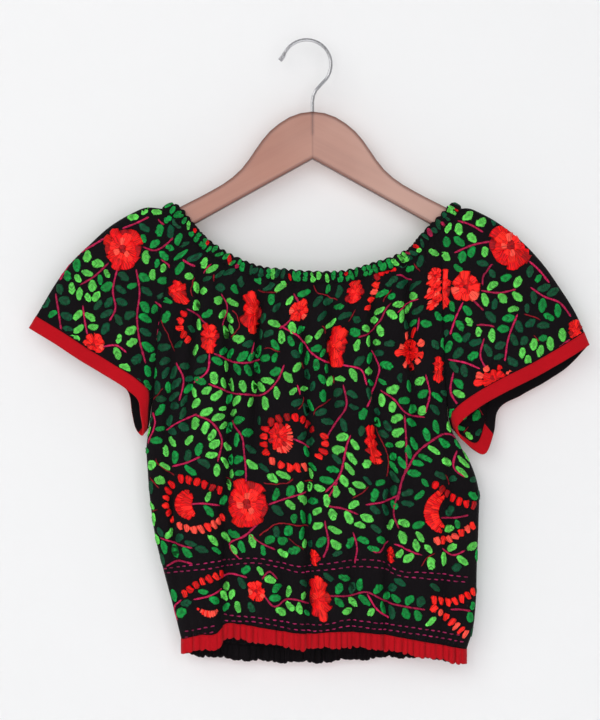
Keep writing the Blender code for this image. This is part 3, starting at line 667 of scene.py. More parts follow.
# The stitched pattern by cloth. Places are x, z on the cloth in millimetres, seen from the front.
# Flowers: kind, x, z, half width, half height, turn in degrees.
FLOWERS = {
    "sleeve_left": (
        ("rose", -182.5, -208, 19, 21, 10), ("rosette", -212, -303, 12, 10, 20),
    ),
    "front": (
        ("tall", -129.5, -251, 8.5, 12, 0), ("tall", -52.5, -272, 11.5, 21, 4),
        ("rosette", -8, -270, 10, 10.5, 0), ("tall", -96, -296.5, 8.5, 14.5, 0),
        ("tall", 28.5, -306, 11.5, 22, -6), ("tall", 48, -252, 8, 12, 8), ("daisy", 103.5, -309, 18, 21, 0),
        ("rosette", 127.5, -235, 6.5, 9, 0), ("rosette", 127, -248, 7, 9.5, 0),
        ("rosette", 127.5, -260.5, 6, 8.5, 0), ("tall", 131, -327, 5, 14, 0),
        ("tall", 65, -403, 6.5, 21, 3), ("rose", -58.5, -461, 20, 25, 0), ("disc", -28.5, -394, 9.5, 13, 0),
        ("tall", 12, -554, 11, 22, 0), ("rosette", -50, -547, 8.5, 11, 0), ("tall", 7.5, -513, 6, 8, 0),
        ("tall", 83, -511.5, 4.5, 8, 0),
    ),
    "sleeve_right": (
        ("tall", 131.5, -248, 6.5, 21, 0), ("rosette", 158, -246, 13.5, 14.5, 0),
        ("rose", 202, -205, 20, 23, 0), ("daisy", 187, -338, 20, 17, 0), ("tall", 267, -288, 6.5, 9, 20),
    ),
    "back": (
        ("rose", -82, -300, 20, 21, 0), ("daisy", 62, -290, 20, 18, 0), ("rose", 88, -452, 20, 23, 0),
        ("disc", -66, -440, 11.5, 13.5, 0), ("rosette", -12, -368, 14, 15, 0),
        ("rosette", -108, -396, 12, 12, 0), ("tall", 20, -500, 8, 14, 0), ("tall", -30, -556, 10, 18, 0),
        ("rosette", 96, -556, 10, 11, 0),
    ),
    "sleeve_left_back": (
        ("rose", -200, -238, 19, 20, 0), ("tall", -158, -300, 8, 13, 0),
    ),
    "sleeve_right_back": (
        ("rose", 208, -240, 19, 20, 0), ("rosette", 184, -325, 13, 13, 0),
    ),
}

# Fans of long satin: x, z, half width, half height, inner and outer shares, from, to, light.
FANS = {
    "front": (
        (-28, -394, 12, 14.5, 0.62, 1.28, -112, 52, True), (-105, -462, 28, 21, 0.3, 1, 122, 240, False),
        (141, -469, 28, 27, 0.44, 1, 112, 246, False), (-97, -554, 17, 20, 0.62, 1, 225, 310, True),
    ),
    "back": (
        (-66, -440, 12, 14, 0.75, 1.65, -112, 52, True), (96, -368, 26, 24, 0.38, 1, 112, 246, False),
        (4, -432, 26, 20, 0.42, 1, 122, 240, False),
    ),
}

# Rows of round stitches: shade (0 dark, 1 scarlet, 2 light), then x, z down the row.
KNOT_ROWS = {
    "front": (
        (0, (-35, -380), (-22, -375.5), (-6, -377), (5, -387)),
        (1, (-41, -386), (-43.5, -398), (-40, -410)), (2, (-34, -418), (-20, -424), (-2, -425)),
        (1, (17, -393), (18, -404), (12, -414)), (0, (-124, -437), (-110, -439), (-97, -444), (-86, -448)),
        (1, (-134, -442), (-139.5, -454), (-139.5, -466), (-133, -477)),
        (2, (-126, -484), (-110, -487), (-95, -483), (-83, -475)),
        (0, (128, -443), (137, -449), (146, -456), (155, -461), (166, -463)),
        (2, (130, -498), (142, -497), (153, -491), (165, -483)),
        (1, (-121, -551), (-107, -540), (-85, -531)),
        (1, (127, -556), (142, -559), (156, -555), (166, -549)),
        (2, (127, -565), (138, -573), (148, -583), (158, -591)), (0, (86, -226), (74, -229), (70, -236)),
        (2, (68, -243), (65, -255), (61, -266)), (1, (-122, -272), (-126, -286), (-118, -298)),
    ),
    "back": (
        (0, (-71, -420), (-51, -417), (-34, -424), (-23, -436)), (1, (-82, -431), (-85, -443), (-81, -457)),
        (2, (-74, -465), (-57, -471), (-36, -470)), (0, (84, -342), (96, -346), (108, -353), (122, -360)),
        (2, (84, -396), (98, -395), (110, -388), (122, -378)),
        (0, (-14, -407), (5, -408), (17, -415), (29, -420)),
        (2, (-15, -456), (5, -460), (21, -455), (33, -447)),
    ),
}

# Branches that show from afar: shade (0 dark, 1 middle, 2 light leaves), then x, z down the stem.
BRANCHES = {
    "front": (
        (0, (-15, -396), (-6, -400), (3, -405)), (1, (-120, -462), (-104, -461), (-86, -463)),
        (1, (132, -475), (146, -475), (161, -473)), (2, (-113, -557), (-98, -553), (-84, -546)),
        (1, (142, -566), (152, -566), (164, -569)), (2, (-13, -252), (-8, -262), (-18, -281), (-27, -288)),
        (1, (-27, -284), (-4, -300), (14, -318), (38, -324), (55, -328), (60, -344)),
        (2, (-22, -323), (-28, -338), (-41, -352), (-60, -352), (-78, -350), (-98, -342)),
        (0, (-96, -311), (-99, -330), (-112, -342)),
        (1, (-92, -312), (-80, -318), (-62, -321), (-46, -318)), (2, (-85, -252), (-79, -272), (-84, -285)),
        (2, (-120, -268), (-106, -276), (-98, -284)),
        (1, (-74, -378), (-64, -396), (-61, -418), (-60, -440)),
        (2, (-112, -372), (-94, -380), (-84, -398), (-88, -420)),
        (0, (-140, -388), (-122, -378), (-108, -372)), (2, (44, -392), (38, -410), (31, -436), (18, -450)),
        (2, (31, -438), (20, -462), (36, -466), (52, -472)), (1, (-38, -462), (-22, -456), (0, -448)),
        (2, (-44, -476), (-60, -492), (-76, -502), (-66, -516)), (1, (-58, -489), (-44, -500), (-30, -506)),
        (2, (18, -476), (22, -500), (16, -515)), (1, (46, -488), (50, -505), (48, -520)),
        (0, (58, -462), (78, -458), (92, -452)),
        (1, (90, -458), (94, -438), (104, -420), (120, -402), (142, -392), (152, -396)),
        (2, (97, -372), (98, -394), (99, -414), (92, -446), (86, -470), (92, -486)),
        (2, (72, -348), (86, -358), (98, -370), (118, -376)),
        (1, (64, -308), (72, -326), (66, -348), (60, -366)),
        (2, (84, -262), (72, -280), (62, -292), (50, -296)), (2, (112, -258), (98, -264), (90, -272)),
        (1, (112, -276), (110, -290)), (1, (118, -332), (122, -350), (118, -372)),
        (2, (150, -408), (148, -428), (158, -436)), (2, (134, -505), (146, -512), (158, -508)),
        (1, (22, -552), (44, -552), (60, -548), (74, -556), (98, -562), (118, -566)),
        (2, (60, -549), (70, -566), (82, -574)), (2, (-42, -552), (-32, -562), (-20, -556), (2, -560)),
        (1, (-88, -536), (-74, -530), (-58, -534)), (2, (-44, -536), (-36, -528), (-28, -536)),
        (1, (-146, -495), (-128, -502), (-112, -505)), (0, (-140, -524), (-128, -518), (-112, -520)),
        (0, (-130, -320), (-122, -336), (-126, -360)), (0, (36, -342), (40, -362), (28, -382), (20, -396)),
        (0, (-52, -300), (-56, -318)), (1, (-134, -424), (-118, -420), (-104, -414)),
    ),
    "back": (
        (0, (-49, -443), (-40, -447), (-31, -452)), (1, (88, -372), (102, -371), (117, -369)),
        (1, (-3, -434), (12, -433), (28, -435)),
    ),
    "sleeve_left": (
        (0, (-188, -226), (-192, -250), (-190, -268), (-196, -280)),
        (1, (-170, -228), (-166, -250), (-168, -276), (-166, -298), (-160, -322)),
        (2, (-200, -196), (-212, -204), (-226, -212), (-240, -226), (-246, -240)),
        (2, (-222, -264), (-220, -282), (-218, -294)), (0, (-250, -252), (-246, -272), (-244, -290)),
        (2, (-204, -306), (-188, -304), (-178, -312)), (0, (-184, -188), (-168, -182), (-156, -176)),
        (1, (-164, -206), (-150, -210), (-140, -204), (-132, -196)),
        (2, (-146, -218), (-136, -226), (-128, -236)),
        (1, (-152, -260), (-142, -266), (-134, -282), (-140, -300)),
        (2, (-196, -222), (-212, -236), (-226, -244)),
    ),
    "sleeve_right": (
        (1, (186, -200), (166, -204), (146, -212)), (2, (172, -250), (190, -252), (208, -248)),
        (1, (156, -260), (148, -276), (143, -294)), (0, (164, -258), (176, -270)),
        (0, (176, -296), (172, -316), (180, -330)), (0, (210, -272), (200, -298), (196, -320)),
        (1, (222, -246), (236, -256), (252, -262), (264, -276)),
        (2, (218, -330), (232, -318), (248, -308), (262, -298)), (0, (140, -318), (158, -322), (172, -328)),
        (2, (150, -180), (162, -184), (176, -192)), (1, (220, -219), (230, -228), (242, -242)),
        (2, (146, -330), (144, -352), (152, -366)),
    ),
}

# Double rows of running stitch: the drop from the upper row to the lower, then x, z of the upper.
STITCH_ROWS = {
    "front": (
        (5, (-142, -526.5), (-80, -517.5), (-49, -514.5), (-25, -519.5), (-4, -523.5), (12, -521),
         (80, -521), (90, -526.5), (118, -529.5), (165, -534.5)),
        (5.5, (-122, -589), (-89, -582)),
        (6, (-82, -571.5), (-41, -574), (-25, -577.5), (0, -581), (24, -579), (34, -577.5), (74, -580),
         (118, -585.5), (160, -594)),
    ),
    "back": (
        (5, (-140, -528), (0, -534), (164, -532)), (5.5, (-122, -589), (0, -596), (158, -594)),
    ),
}


def colour(red, green, blue):
    """A dye as Blender keeps it, from the 0 to 255 of a colour chart."""
    part = np.array([red, green, blue]) / 255
    return np.where(part <= 0.04045, part / 12.92, ((part + 0.055) / 1.055) ** 2.4)


LEAF_DYES = (colour(0, 76, 46), colour(6, 146, 62), colour(96, 210, 84))
SCARLET = colour(216, 2, 6)
ORANGE = colour(244, 30, 22)
SALMON = colour(250, 76, 62)
DEEP_RED = colour(158, 0, 8)
CRIMSON = colour(176, 22, 72)
DARK_STEM = colour(132, 12, 26)
MAGENTA = colour(150, 26, 80)


class Ground:
    """The outside of a piece of cloth as its embroiderer sees it, flat, in millimetres.

    p runs to the right as seen from outside and q up. taken marks where stitches already lie.
    """

    STEP = 1.2

    def __init__(self, low, spots, normals):
        self.low, self.spots, self.normals = low, spots, normals
        self.size = np.ceil((np.array(spots.shape[:2]) - 1) * self.STEP).astype(int)
        p, q = np.meshgrid(np.arange(self.size[0]), np.arange(self.size[1]), indexing="ij")
        _, self.clear = self.lift(np.stack([p, q], -1) + self.low, 0.0)
        self.taken = ~self.clear
        self.bare = np.stack(np.nonzero(self.clear), -1) + self.low

    def lift(self, flat, height):
        """Points above the cloth at flat places, and which of them have cloth below."""
        place = (flat - self.low) / self.STEP
        cell = np.clip(np.floor(place).astype(int), 0, np.array(self.spots.shape[:2]) - 2)
        i, j = cell[..., 0], cell[..., 1]
        f, g = np.clip(place - cell, 0, 1)[..., :1], np.clip(place - cell, 0, 1)[..., 1:]
        shares = ((1 - f) * (1 - g), f * (1 - g), (1 - f) * g, f * g)
        corners = ((i, j), (i + 1, j), (i, j + 1), (i + 1, j + 1))
        points = sum(s * self.spots[c] for s, c in zip(shares, corners))
        normal = sum(s * self.normals[c] for s, c in zip(shares, corners))
        held = np.isfinite(points[..., 0])
        normal = normal / np.maximum(np.linalg.norm(normal, axis=-1, keepdims=True), 0.01)
        lifted = points + normal * np.asarray(height)[..., None]
        return np.nan_to_num(lifted), held

    def find(self, x, z):
        """The flat place of what is seen at x, z."""
        away = (self.spots[..., 0] - x) ** 2 + (self.spots[..., 2] - z) ** 2
        nearest = np.unravel_index(np.nan_to_num(away, nan=1e9).argmin(), away.shape)
        return self.low + self.STEP * np.array(nearest)

    def anywhere(self, chance):
        """A flat place picked at random, with cloth below."""
        return self.bare[int(chance.integers(len(self.bare)))] + chance.uniform(-0.5, 0.5, 2)

    def line(self, places, step):
        """Flat places at even steps down the smooth curve through what is seen at x, z."""
        return smooth_line([self.find(x, z) for x, z in places], step)

    def cells(self, flat):
        found = np.round(flat - self.low).astype(int)
        inside = ((found >= 0) & (found < self.size)).all(-1)
        found = np.clip(found, 0, self.size - 1)
        return found[..., 0], found[..., 1], inside

    def free(self, flat, share=1.0):
        """Whether at least this share of the flat places is bare cloth, and the rest off its edge."""
        i, j, inside = self.cells(flat)
        bare = inside & ~self.taken[i, j]
        if share >= 1:
            return bool(bare.all())
        stitched = inside & self.taken[i, j] & self.clear[i, j]
        return bool(bare.mean() >= share and not stitched.any())

    def take(self, flat):
        i, j, inside = self.cells(flat)
        self.taken[i[inside], j[inside]] = True


def hanging_ground(wall, side):
    """A sleeve's ground, found by looking straight at its front or its back."""
    mesh = wall.data
    points = [v.co / MM for v in mesh.vertices]
    tree = BVHTree.FromPolygons(points, [tuple(f.vertices) for f in mesh.polygons])
    places = np.array(points)[:, [0, 2]] * (side, 1)
    low, high = places.min(0), places.max(0)
    count = np.ceil((high - low) / Ground.STEP).astype(int) + 1
    spots = np.full((*count, 3), np.nan)
    normals = np.zeros((*count, 3))
    ray = Vector((0, side, 0))
    for i in range(count[0]):
        x = side * (low[0] + i * Ground.STEP)
        for j in range(count[1]):
            start = Vector((x, -100 * side, low[1] + j * Ground.STEP))
            hit, normal, _, _ = tree.ray_cast(start, ray)
            if hit is not None:
                spots[i, j] = hit
                normals[i, j] = normal if normal.y * side < 0 else -normal
    return Ground(low, spots, normals)


def folded_ground(surface, thickness, side):
    """A body panel's ground: level slices through its folds, each of them laid out flat."""
    grid, facing = surface
    skin = np.concatenate([grid + facing * thickness / 2, facing], -1)[::-1, ::side]
    levels = np.arange(skin[..., 2].min(), skin[..., 2].max(), Ground.STEP)
    slices = np.full((len(levels), skin.shape[1], 6), np.nan)
    for c in range(skin.shape[1]):
        for k in range(6):
            slices[:, c, k] = np.interp(levels, skin[:, c, 2], skin[:, c, k], np.nan, np.nan)
    middle = len(levels) // 2
    beside = np.full(skin.shape[1], np.nan)
    parts = []
    for j in [*range(middle, len(levels)), *range(middle - 1, -1, -1)]:
        if j == middle - 1:
            beside = at_middle
        columns = np.nonzero(np.isfinite(slices[j, :, 0]))[0]
        for part in np.split(columns, np.nonzero(np.diff(columns) > 1)[0] + 1):
            if len(part) < 3:
                continue
            kept = slices[j, part]
            run = run_along(kept[:, :2])
            known = np.isfinite(beside[part])
            if j == middle:
                run -= np.interp(0.0, side * kept[:, 0], run)
            elif known.any():
                run += (beside[part] - run)[known].mean()
            else:
                continue
            beside[part] = run
            parts.append((j, run, kept))
        if j == middle:
            at_middle = beside.copy()
    low = min(run[0] for _, run, _ in parts)
    places = np.arange(low, max(run[-1] for _, run, _ in parts), Ground.STEP)
    found = np.full((len(places), len(levels), 6), np.nan)
    for j, run, kept in parts:
        inside = (places >= run[0]) & (places <= run[-1])
        for k in range(6):
            found[inside, j, k] = np.interp(places[inside], run, kept[:, k])
    return Ground(np.array([low, levels[0]]), found[..., :3], np.nan_to_num(found[..., 3:]))


class CasingGround:
    """The ruffled outside of the neck casing, unrolled: p runs along the ring, q up to the neck."""

    def __init__(self):
        self.length = np.linalg.norm(np.diff(RING.middle, axis=0), axis=1).sum()

    def lift(self, flat, height):
        across = np.clip(flat[..., 1] / (CASING_WIDTH / 2), -1, 1)
        points = casing_at(flat[..., 0] / self.length, across, height)
        return points, np.ones(flat.shape[:-1], bool)


def towards(turn):
    """A step of one millimetre in a flat direction."""
    return np.array([math.cos(turn), math.sin(turn)])


def heading(step):
    return math.atan2(step[1], step[0])


def turned(a, b, turn):
    """Flat places at distances along a direction and to its left."""
    cosine, sine = math.cos(turn), math.sin(turn)
    return np.stack([a * cosine - b * sine, a * sine + b * cosine], -1)


def ahead_of(line):
    """Directions down a line of flat places; the small share keeps points that meet apart."""
    return unit(np.gradient(line, axis=0) + 1e-9)


def left_of(ahead):
    return np.stack([-ahead[:, 1], ahead[:, 0]], -1)


def lens():
    """A satin-stitched leaf or petal for repeating: places along it, across it, and triangles."""
    wide, rows = len(LENS_ACROSS), len(LENS_STATIONS)
    along_it = np.concatenate([[0.0], np.repeat(LENS_STATIONS, wide), [1.0]])
    across_it = np.concatenate([[0.0], np.tile(LENS_ACROSS, rows), [0.0]])
    last = wide * rows + 1
    faces = []
    for c in range(wide - 1):
        faces += [(0, c + 2, c + 1), (last, last - wide + c, last - wide + c + 1)]
    for r in range(rows - 1):
        for c in range(wide - 1):
            a = 1 + r * wide + c
            faces += [(a, a + 1, a + wide + 1), (a, a + wide + 1, a + wide)]
        a, b = 1 + r * wide, (r + 1) * wide
        faces += [(a, a + wide, b + wide), (a, b + wide, b)]
    faces += [(0, 1, wide), (last, last - 1, last - wide)]
    return along_it, across_it, np.array(faces)[:, ::-1]


LENS_STATIONS = (0.10, 0.32, 0.55, 0.78, 0.93)
LENS_ACROSS = (-1.0, -0.5, 0.0, 0.5, 1.0)
LEAF_HALF_WIDTHS = (0.0, 0.55, 0.92, 1.0, 0.84, 0.46, 0.0)
PETAL_HALF_WIDTHS = (0.0, 0.62, 0.86, 1.0, 1.0, 0.74, 0.0)
LENS = lens()
# Stitches: how deep their edges sink, how uneven a satin edge is, and how much darker each is painted down
# its middle than at its edges, which carry a painted highlight.
SUNK = 0.35
EDGE_SHARES, EDGE_STEP = (0.76, 1.18), 1.0
LEAF_EDGE_HIGHLIGHT, PETAL_EDGE_HIGHLIGHT = 0.62, 0.26
STEM_HEIGHT, BRANCH_WIDTH = 0.8, 2.3
MOUND_RAYS = 26
MOUND_RINGS = ((0.34, 1.0), (0.7, 0.92), (0.93, 0.7), (1.0, 0.0))
LEAF_LENGTHS, LEAF_WIDTHS, LEAF_HEIGHTS = (12.2, 15.4), (8.0, 10.2), (1.0, 1.4)
KNOT_SPACING, KNOT_LENGTHS, KNOT_WIDTHS = 7.8, (8.0, 9.8), (7.0, 8.2)
PAIR_SPACING = (12.0, 15.5)
BARE_SHARE = 0.58
GROWING_STEP = 2.4
DASH_STEP, DASH, DASH_GAP = 0.5, 9, 6


class Stitches:
    """Raised stitches that become one mesh: leaves, petals, knots and stems on their grounds."""

    def __init__(self, seed):
        self.chance = np.random.default_rng(seed)
        self.points, self.faces, self.threads, self.dyes = [], [], [], []
        self.total = 0

    def gather(self, points, faces, threads, dyes, held):
        """Keep one stitched shape, without the triangles that would hang off the cloth."""
        faces = faces[held[faces].all(1)]
        if len(faces) == 0:
            return
        self.points.append(points)
        self.faces.append(faces + self.total)
        self.threads.append(threads)
        self.dyes.append(dyes)
        self.total += len(points)

    def satin(self, ground, place, turn, length, width, height, dye, leaf=True, rise=0.0):
        """One leaf or petal from its base: satin stitches with an uneven edge."""
        s, v, faces = LENS
        chance = self.chance
        rows = np.concatenate([[0.0], LENS_STATIONS, [1.0]])
        half = np.interp(s, rows, LEAF_HALF_WIDTHS if leaf else PETAL_HALF_WIDTHS) * width / 2
        edge = abs(v) > 0.9
        half = half * np.where(edge, chance.uniform(*EDGE_SHARES, len(s)), 1)
        a = s * length + np.where(edge | (s == 1), chance.uniform(-EDGE_STEP, EDGE_STEP, len(s)), 0)
        b = v * half + 0.06 * length * chance.uniform(-1, 1) * np.sin(np.pi * s)
        crown = np.interp(abs(v), (0, 0.5, 1), (0.66 if leaf else 1.0, 0.95, 0.0))
        taper = np.clip(np.minimum(s, 1 - s) * 6, 0, 1)
        sunk = edge | (s == 0) | (s == 1)
        h = np.where(sunk, rise - SUNK, rise + height * crown * (0.5 + 0.5 * taper))
        points, held = ground.lift(turned(a, b, turn) + place, h)
        slip = chance.uniform(0, 60, 2)
        threads = np.stack([a - 1.1 * abs(b), abs(b) + 0.5 * a] if leaf else [b, a], -1) + slip
        tint = dye * chance.uniform(0.85, 1.12) + chance.uniform(0, 0.004, 3)
        # Painted highlight: each leaf or petal is painted lighter than its dye at the edges and darker down
        # its middle.
        edge_highlight = 1.15 - (LEAF_EDGE_HIGHLIGHT if leaf else PETAL_EDGE_HIGHLIGHT) * (1 - abs(v)) * np.sin(np.pi * s)
        self.gather(points, faces, threads, np.clip(tint[None] * edge_highlight[:, None], 0, 1), held)

    def mound(self, ground, centre, radii, height, dye):
        """The padded ground of a flower: a low dome of satin with a lobed edge."""
        angle = np.arange(MOUND_RAYS) / MOUND_RAYS * 2 * math.pi
        lobes = 1 + 0.05 * np.sin(7 * angle + self.chance.uniform(0, 6))
        round_it = np.stack([np.cos(angle), np.sin(angle)], 1) * radii
        flat, lift = [np.zeros((1, 2))], [[height]]
        for share, high in MOUND_RINGS:
            flat.append(round_it * share * lobes[:, None])
            lift.append(np.full(MOUND_RAYS, height * high if high else -SUNK))
        flat, lift = np.concatenate([*flat, np.zeros((1, 2))]), np.concatenate([*lift, [-SUNK]])
        points, held = ground.lift(flat + centre, lift)
        faces = []
        low = 1 + (len(MOUND_RINGS) - 1) * MOUND_RAYS
        for k in range(MOUND_RAYS):
            n = (k + 1) % MOUND_RAYS
            faces.append((0, 1 + k, 1 + n))
            for r in range(len(MOUND_RINGS) - 1):
                a, b = 1 + r * MOUND_RAYS + k, 1 + r * MOUND_RAYS + n
                faces += [(a, a + MOUND_RAYS, b + MOUND_RAYS), (a, b + MOUND_RAYS, b)]
            faces.append((len(flat) - 1, low + n, low + k))
        away = np.linalg.norm(flat, axis=1)
        threads = np.stack([np.arctan2(flat[:, 1], flat[:, 0]) * 7, away], -1)
        dyes = np.repeat(dye[None] * self.chance.uniform(0.9, 1.1), len(flat), 0)
        self.gather(points, np.array(faces), threads, dyes, held)

    def stem(self, ground, line, width, dye):
        """A twisted cord stitched down along a line of flat places."""
        left, run = left_of(ahead_of(line)), run_along(line)
        v, rise = np.array([1.0, 0.55, -0.55, -1.0]), np.array([-0.3, 1.0, 1.0, -0.3])
        ends = np.clip(np.minimum(run, run[-1] - run) / (1.2 * width) + 0.3, 0, 1)
        beat = 1 + 0.16 * np.sin(run * 1.9) + self.chance.normal(0, 0.07, len(run))
        half = width / 2 * ends * beat
        flat = line[:, None] + left[:, None] * (v[None] * half[:, None])[..., None]
        lift = np.where(rise > 0, STEM_HEIGHT * rise[None] * ends[:, None], rise[None])
        lift[0] = lift[-1] = rise[0]
        points, held = ground.lift(flat, lift)
        count = len(v)
        faces = []
        for r in range(len(line) - 1):
            for c in range(count):
                p, q = r * count + c, r * count + (c + 1) % count
                faces += [(p, q, q + count), (p, q + count, p + count)]
        last = (len(line) - 1) * count
        faces += [(0, 2, 1), (0, 3, 2), (last, last + 1, last + 2), (last, last + 2, last + 3)]
        across = np.array([0.0, 0.6, 1.4, 2.0]) * width / 2
        down, across = run[:, None] - across[None], across[None] + run[:, None]
        threads = np.stack([down, across], -1) + self.chance.uniform(0, 60, 2)
        dyes = np.repeat((dye * self.chance.uniform(0.8, 1.15))[None], held.size, 0)
        self.gather(points.reshape(-1, 3), np.array(faces), threads.reshape(-1, 2), dyes, held.ravel())

    def solid(self, name, finish):
        points, faces = np.concatenate(self.points), np.concatenate(self.faces)
        used, faces = np.unique(faces, return_inverse=True)
        return solid(
            name,
            points[used],
            faces.reshape(-1, 3),
            [finish],
            np.concatenate(self.threads)[used],
            np.concatenate(self.dyes)[used],
        )


def spread(turn, length, width, margin, steps=(9, 7)):
    """Flat places that cover a leaf, grown by a margin."""
    s, v = np.meshgrid(np.linspace(0, 1, steps[0]), np.linspace(-1, 1, steps[1]), indexing="ij")
    half = np.interp(s, np.linspace(0, 1, 7), LEAF_HALF_WIDTHS) * width / 2 + margin
    return turned(s * (length + 2 * margin) - margin, v * half, turn).reshape(-1, 2)


def leaf(work, ground, place, turn, shade, scale=1.0, share=1.0):
    """Stitch a leaf where the cloth is bare; True if it fitted."""
    chance = work.chance
    length = scale * chance.uniform(*LEAF_LENGTHS)
    width = scale * chance.uniform(*LEAF_WIDTHS)
    if not ground.free(spread(turn, length, width, 0.1) + place, share):
        return False
    level = int(np.clip(shade + chance.choice([-1, 0, 0, 0, 0, 1]), 0, 2))
    work.satin(ground, place, turn, length, width, chance.uniform(*LEAF_HEIGHTS), LEAF_DYES[level])
    ground.take(spread(turn, length, width, 0.1, (17, 13)) + place)
    return True


def smooth_line(rows, step):
    """Flat places at even steps down the smooth curve through a table's rows."""
    rows = np.asarray(rows, float)
    if len(rows) == 2:
        rows = np.stack([rows[0], rows.mean(0), rows[1]])
    length = np.linalg.norm(np.diff(rows, axis=0), axis=1).sum()
    return along(rows, np.linspace(0, 1, max(int(length / step), 3) + 1))


def branch(work, ground, line, shade, thick):
    """A stem with leaves in pairs down it and one at its tip."""
    chance = work.chance
    ahead, run = ahead_of(line), run_along(line)
    at = chance.uniform(2, 6)
    set_down = 0
    while at < run[-1] - 2:
        for side in (-1, 1):
            turn = heading(read_off(ahead, run, at)) + side * chance.uniform(0.75, 1.2)
            base = read_off(line, run, at + side * 1.4) + towards(turn) * (thick / 2 + 0.6)
            fitted = leaf(work, ground, base, turn, shade)
            if not fitted:
                fitted = leaf(work, ground, base, turn + side * 0.35, shade, 0.78)
            set_down += fitted
        at += chance.uniform(*PAIR_SPACING)
    set_down += leaf(work, ground, line[-1] + ahead[-1], heading(ahead[-1]), shade)
    dye = CRIMSON if thick > 1.7 else DARK_STEM
    work.stem(ground, line, thick, dye * chance.uniform(0.8, 1.2))
    for off in (-1.3, -0.6, 0, 0.6, 1.3):
        ground.take(line + left_of(ahead) * off)
    return set_down


def ring_of(work, ground, centre, radii, turn, count, inner, outer, width, height, dyes, rise=0.0):
    """Satin petals set round a centre, from an inner to an outer share of the flower's radii."""
    for k in range(count):
        angle = turn + 2 * math.pi * (k + 0.28 * work.chance.uniform(-1, 1)) / count
        ray = towards(angle) * radii
        start, end = centre + ray * inner, centre + ray * outer * work.chance.uniform(0.84, 1.1)
        reach = end - start
        size = float(np.linalg.norm(reach)), width * work.chance.uniform(0.82, 1.18)
        work.satin(ground, start, heading(reach), *size, height, dyes[k % len(dyes)], False, rise)


def clear_round(ground, centre, radii):
    """Keep leaves off a flower's place."""
    angle = np.linspace(0, 2 * math.pi, 60)[:, None]
    for share in np.linspace(0.05, 1.04, 14):
        ground.take(centre + np.concatenate([np.cos(angle), np.sin(angle)], 1) * radii * share)


# Each kind of flower: its padded ground's share of the radii, height and dye, then its rings of
# petals: count, inner and outer share, width as a share of the size, dyes, height and rise.
FLOWER_KINDS = {
    "rose": (
        (0.86, 1.0, SCARLET),
        (11, 0.58, 1.04, 0.66, (SCARLET, SCARLET, DEEP_RED), 0.6, 0.55),
        (8, 0.30, 0.78, 0.66, (SCARLET, ORANGE, SCARLET), 0.6, 0.95),
        (7, 0.16, 0.50, 0.40, (ORANGE, SALMON), 0.7, 1.25),
        (4, -0.04, 0.24, 0.26, (DEEP_RED,), 0.5, 1.5),
    ),
    "rosette": (
        (0.8, 1.0, SCARLET),
        (8, 0.42, 1.06, 0.80, (ORANGE, ORANGE, SALMON), 0.6, 0.5),
        (6, 0.12, 0.58, 0.50, (ORANGE, SCARLET), 0.6, 0.95),
        (3, -0.05, 0.22, 0.26, (DEEP_RED,), 0.5, 1.3),
    ),
    "daisy": (
        (0.5, 1.0, SCARLET),
        (9, 0.58, 1.04, 0.42, (SALMON, ORANGE, SALMON, SCARLET), 1.0, 0.0),
        (8, 0.16, 0.66, 0.46, (SCARLET,), 0.6, 0.6),
        (5, -0.04, 0.34, 0.34, (SCARLET, DEEP_RED), 0.6, 1.0),
    ),
    "tall": (
        (0.84, 1.0, SCARLET),
        (9, 0.40, 1.05, 0.74, (SCARLET, DEEP_RED, SCARLET, ORANGE), 0.7, 0.45),
        (6, 0.0, 0.60, 0.66, (SCARLET, ORANGE), 0.7, 0.9),
    ),
    "disc": (
        (0.92, 1.0, SCARLET),
        (9, 0.50, 1.0, 0.62, (SCARLET, DEEP_RED, SCARLET), 0.6, 0.5),
        (6, 0.10, 0.62, 0.46, (SCARLET, ORANGE), 0.6, 0.9),
        (3, -0.05, 0.24, 0.30, (DEEP_RED,), 0.5, 1.2),
    ),
}


def flower(work, ground, kind, centre, radii, turn):
    """A rose, rosette, daisy, disc or tall folded flower in satin stitch."""
    size = float(np.sqrt(radii[0] * radii[1]))
    clear_round(ground, centre, radii)
    (share, height, dye), *rings = FLOWER_KINDS[kind]
    work.mound(ground, centre, radii * share, height, dye)
    for count, inner, outer, width, dyes, height, rise in rings:
        spin = math.radians(turn) + count
        ring_of(work, ground, centre, radii, spin, count, inner, outer, width * size, height, dyes, rise)


def fan(work, ground, centre, radii, inner, outer, start, stop, light):
    """Long satin stitches side by side in a crescent, in two layers."""
    dyes = (SALMON, ORANGE, SALMON) if light else (SCARLET, SCARLET, ORANGE)
    layers = ((inner, outer, 0.0),) if light else ((inner + 0.18, outer, 0.0), (inner, outer - 0.24, 0.5))
    for low, high, rise in layers:
        angle = start
        while angle < stop:
            ray = radii * towards(math.radians(angle))
            ends = math.sin(math.pi * (angle - start) / (stop - start)) ** 0.4
            middle = (low + high) / 2
            near, far = middle + (low - middle) * ends, middle + (high - middle) * ends
            reach = ray * (far - near)
            size = max(float(np.linalg.norm(reach)), 3.0), 3.6 if light else 4.8
            dye = dyes[int(work.chance.integers(3))]
            work.satin(ground, centre + ray * near, heading(reach), *size, 0.9, dye, False, rise)
            angle += math.degrees(2.5 / float(np.linalg.norm(ray) * middle))
    for angle in np.radians(np.linspace(start, stop, 60)):
        for share in np.linspace(inner, outer * 1.03, 10):
            ground.take((centre + radii * share * towards(angle))[None])


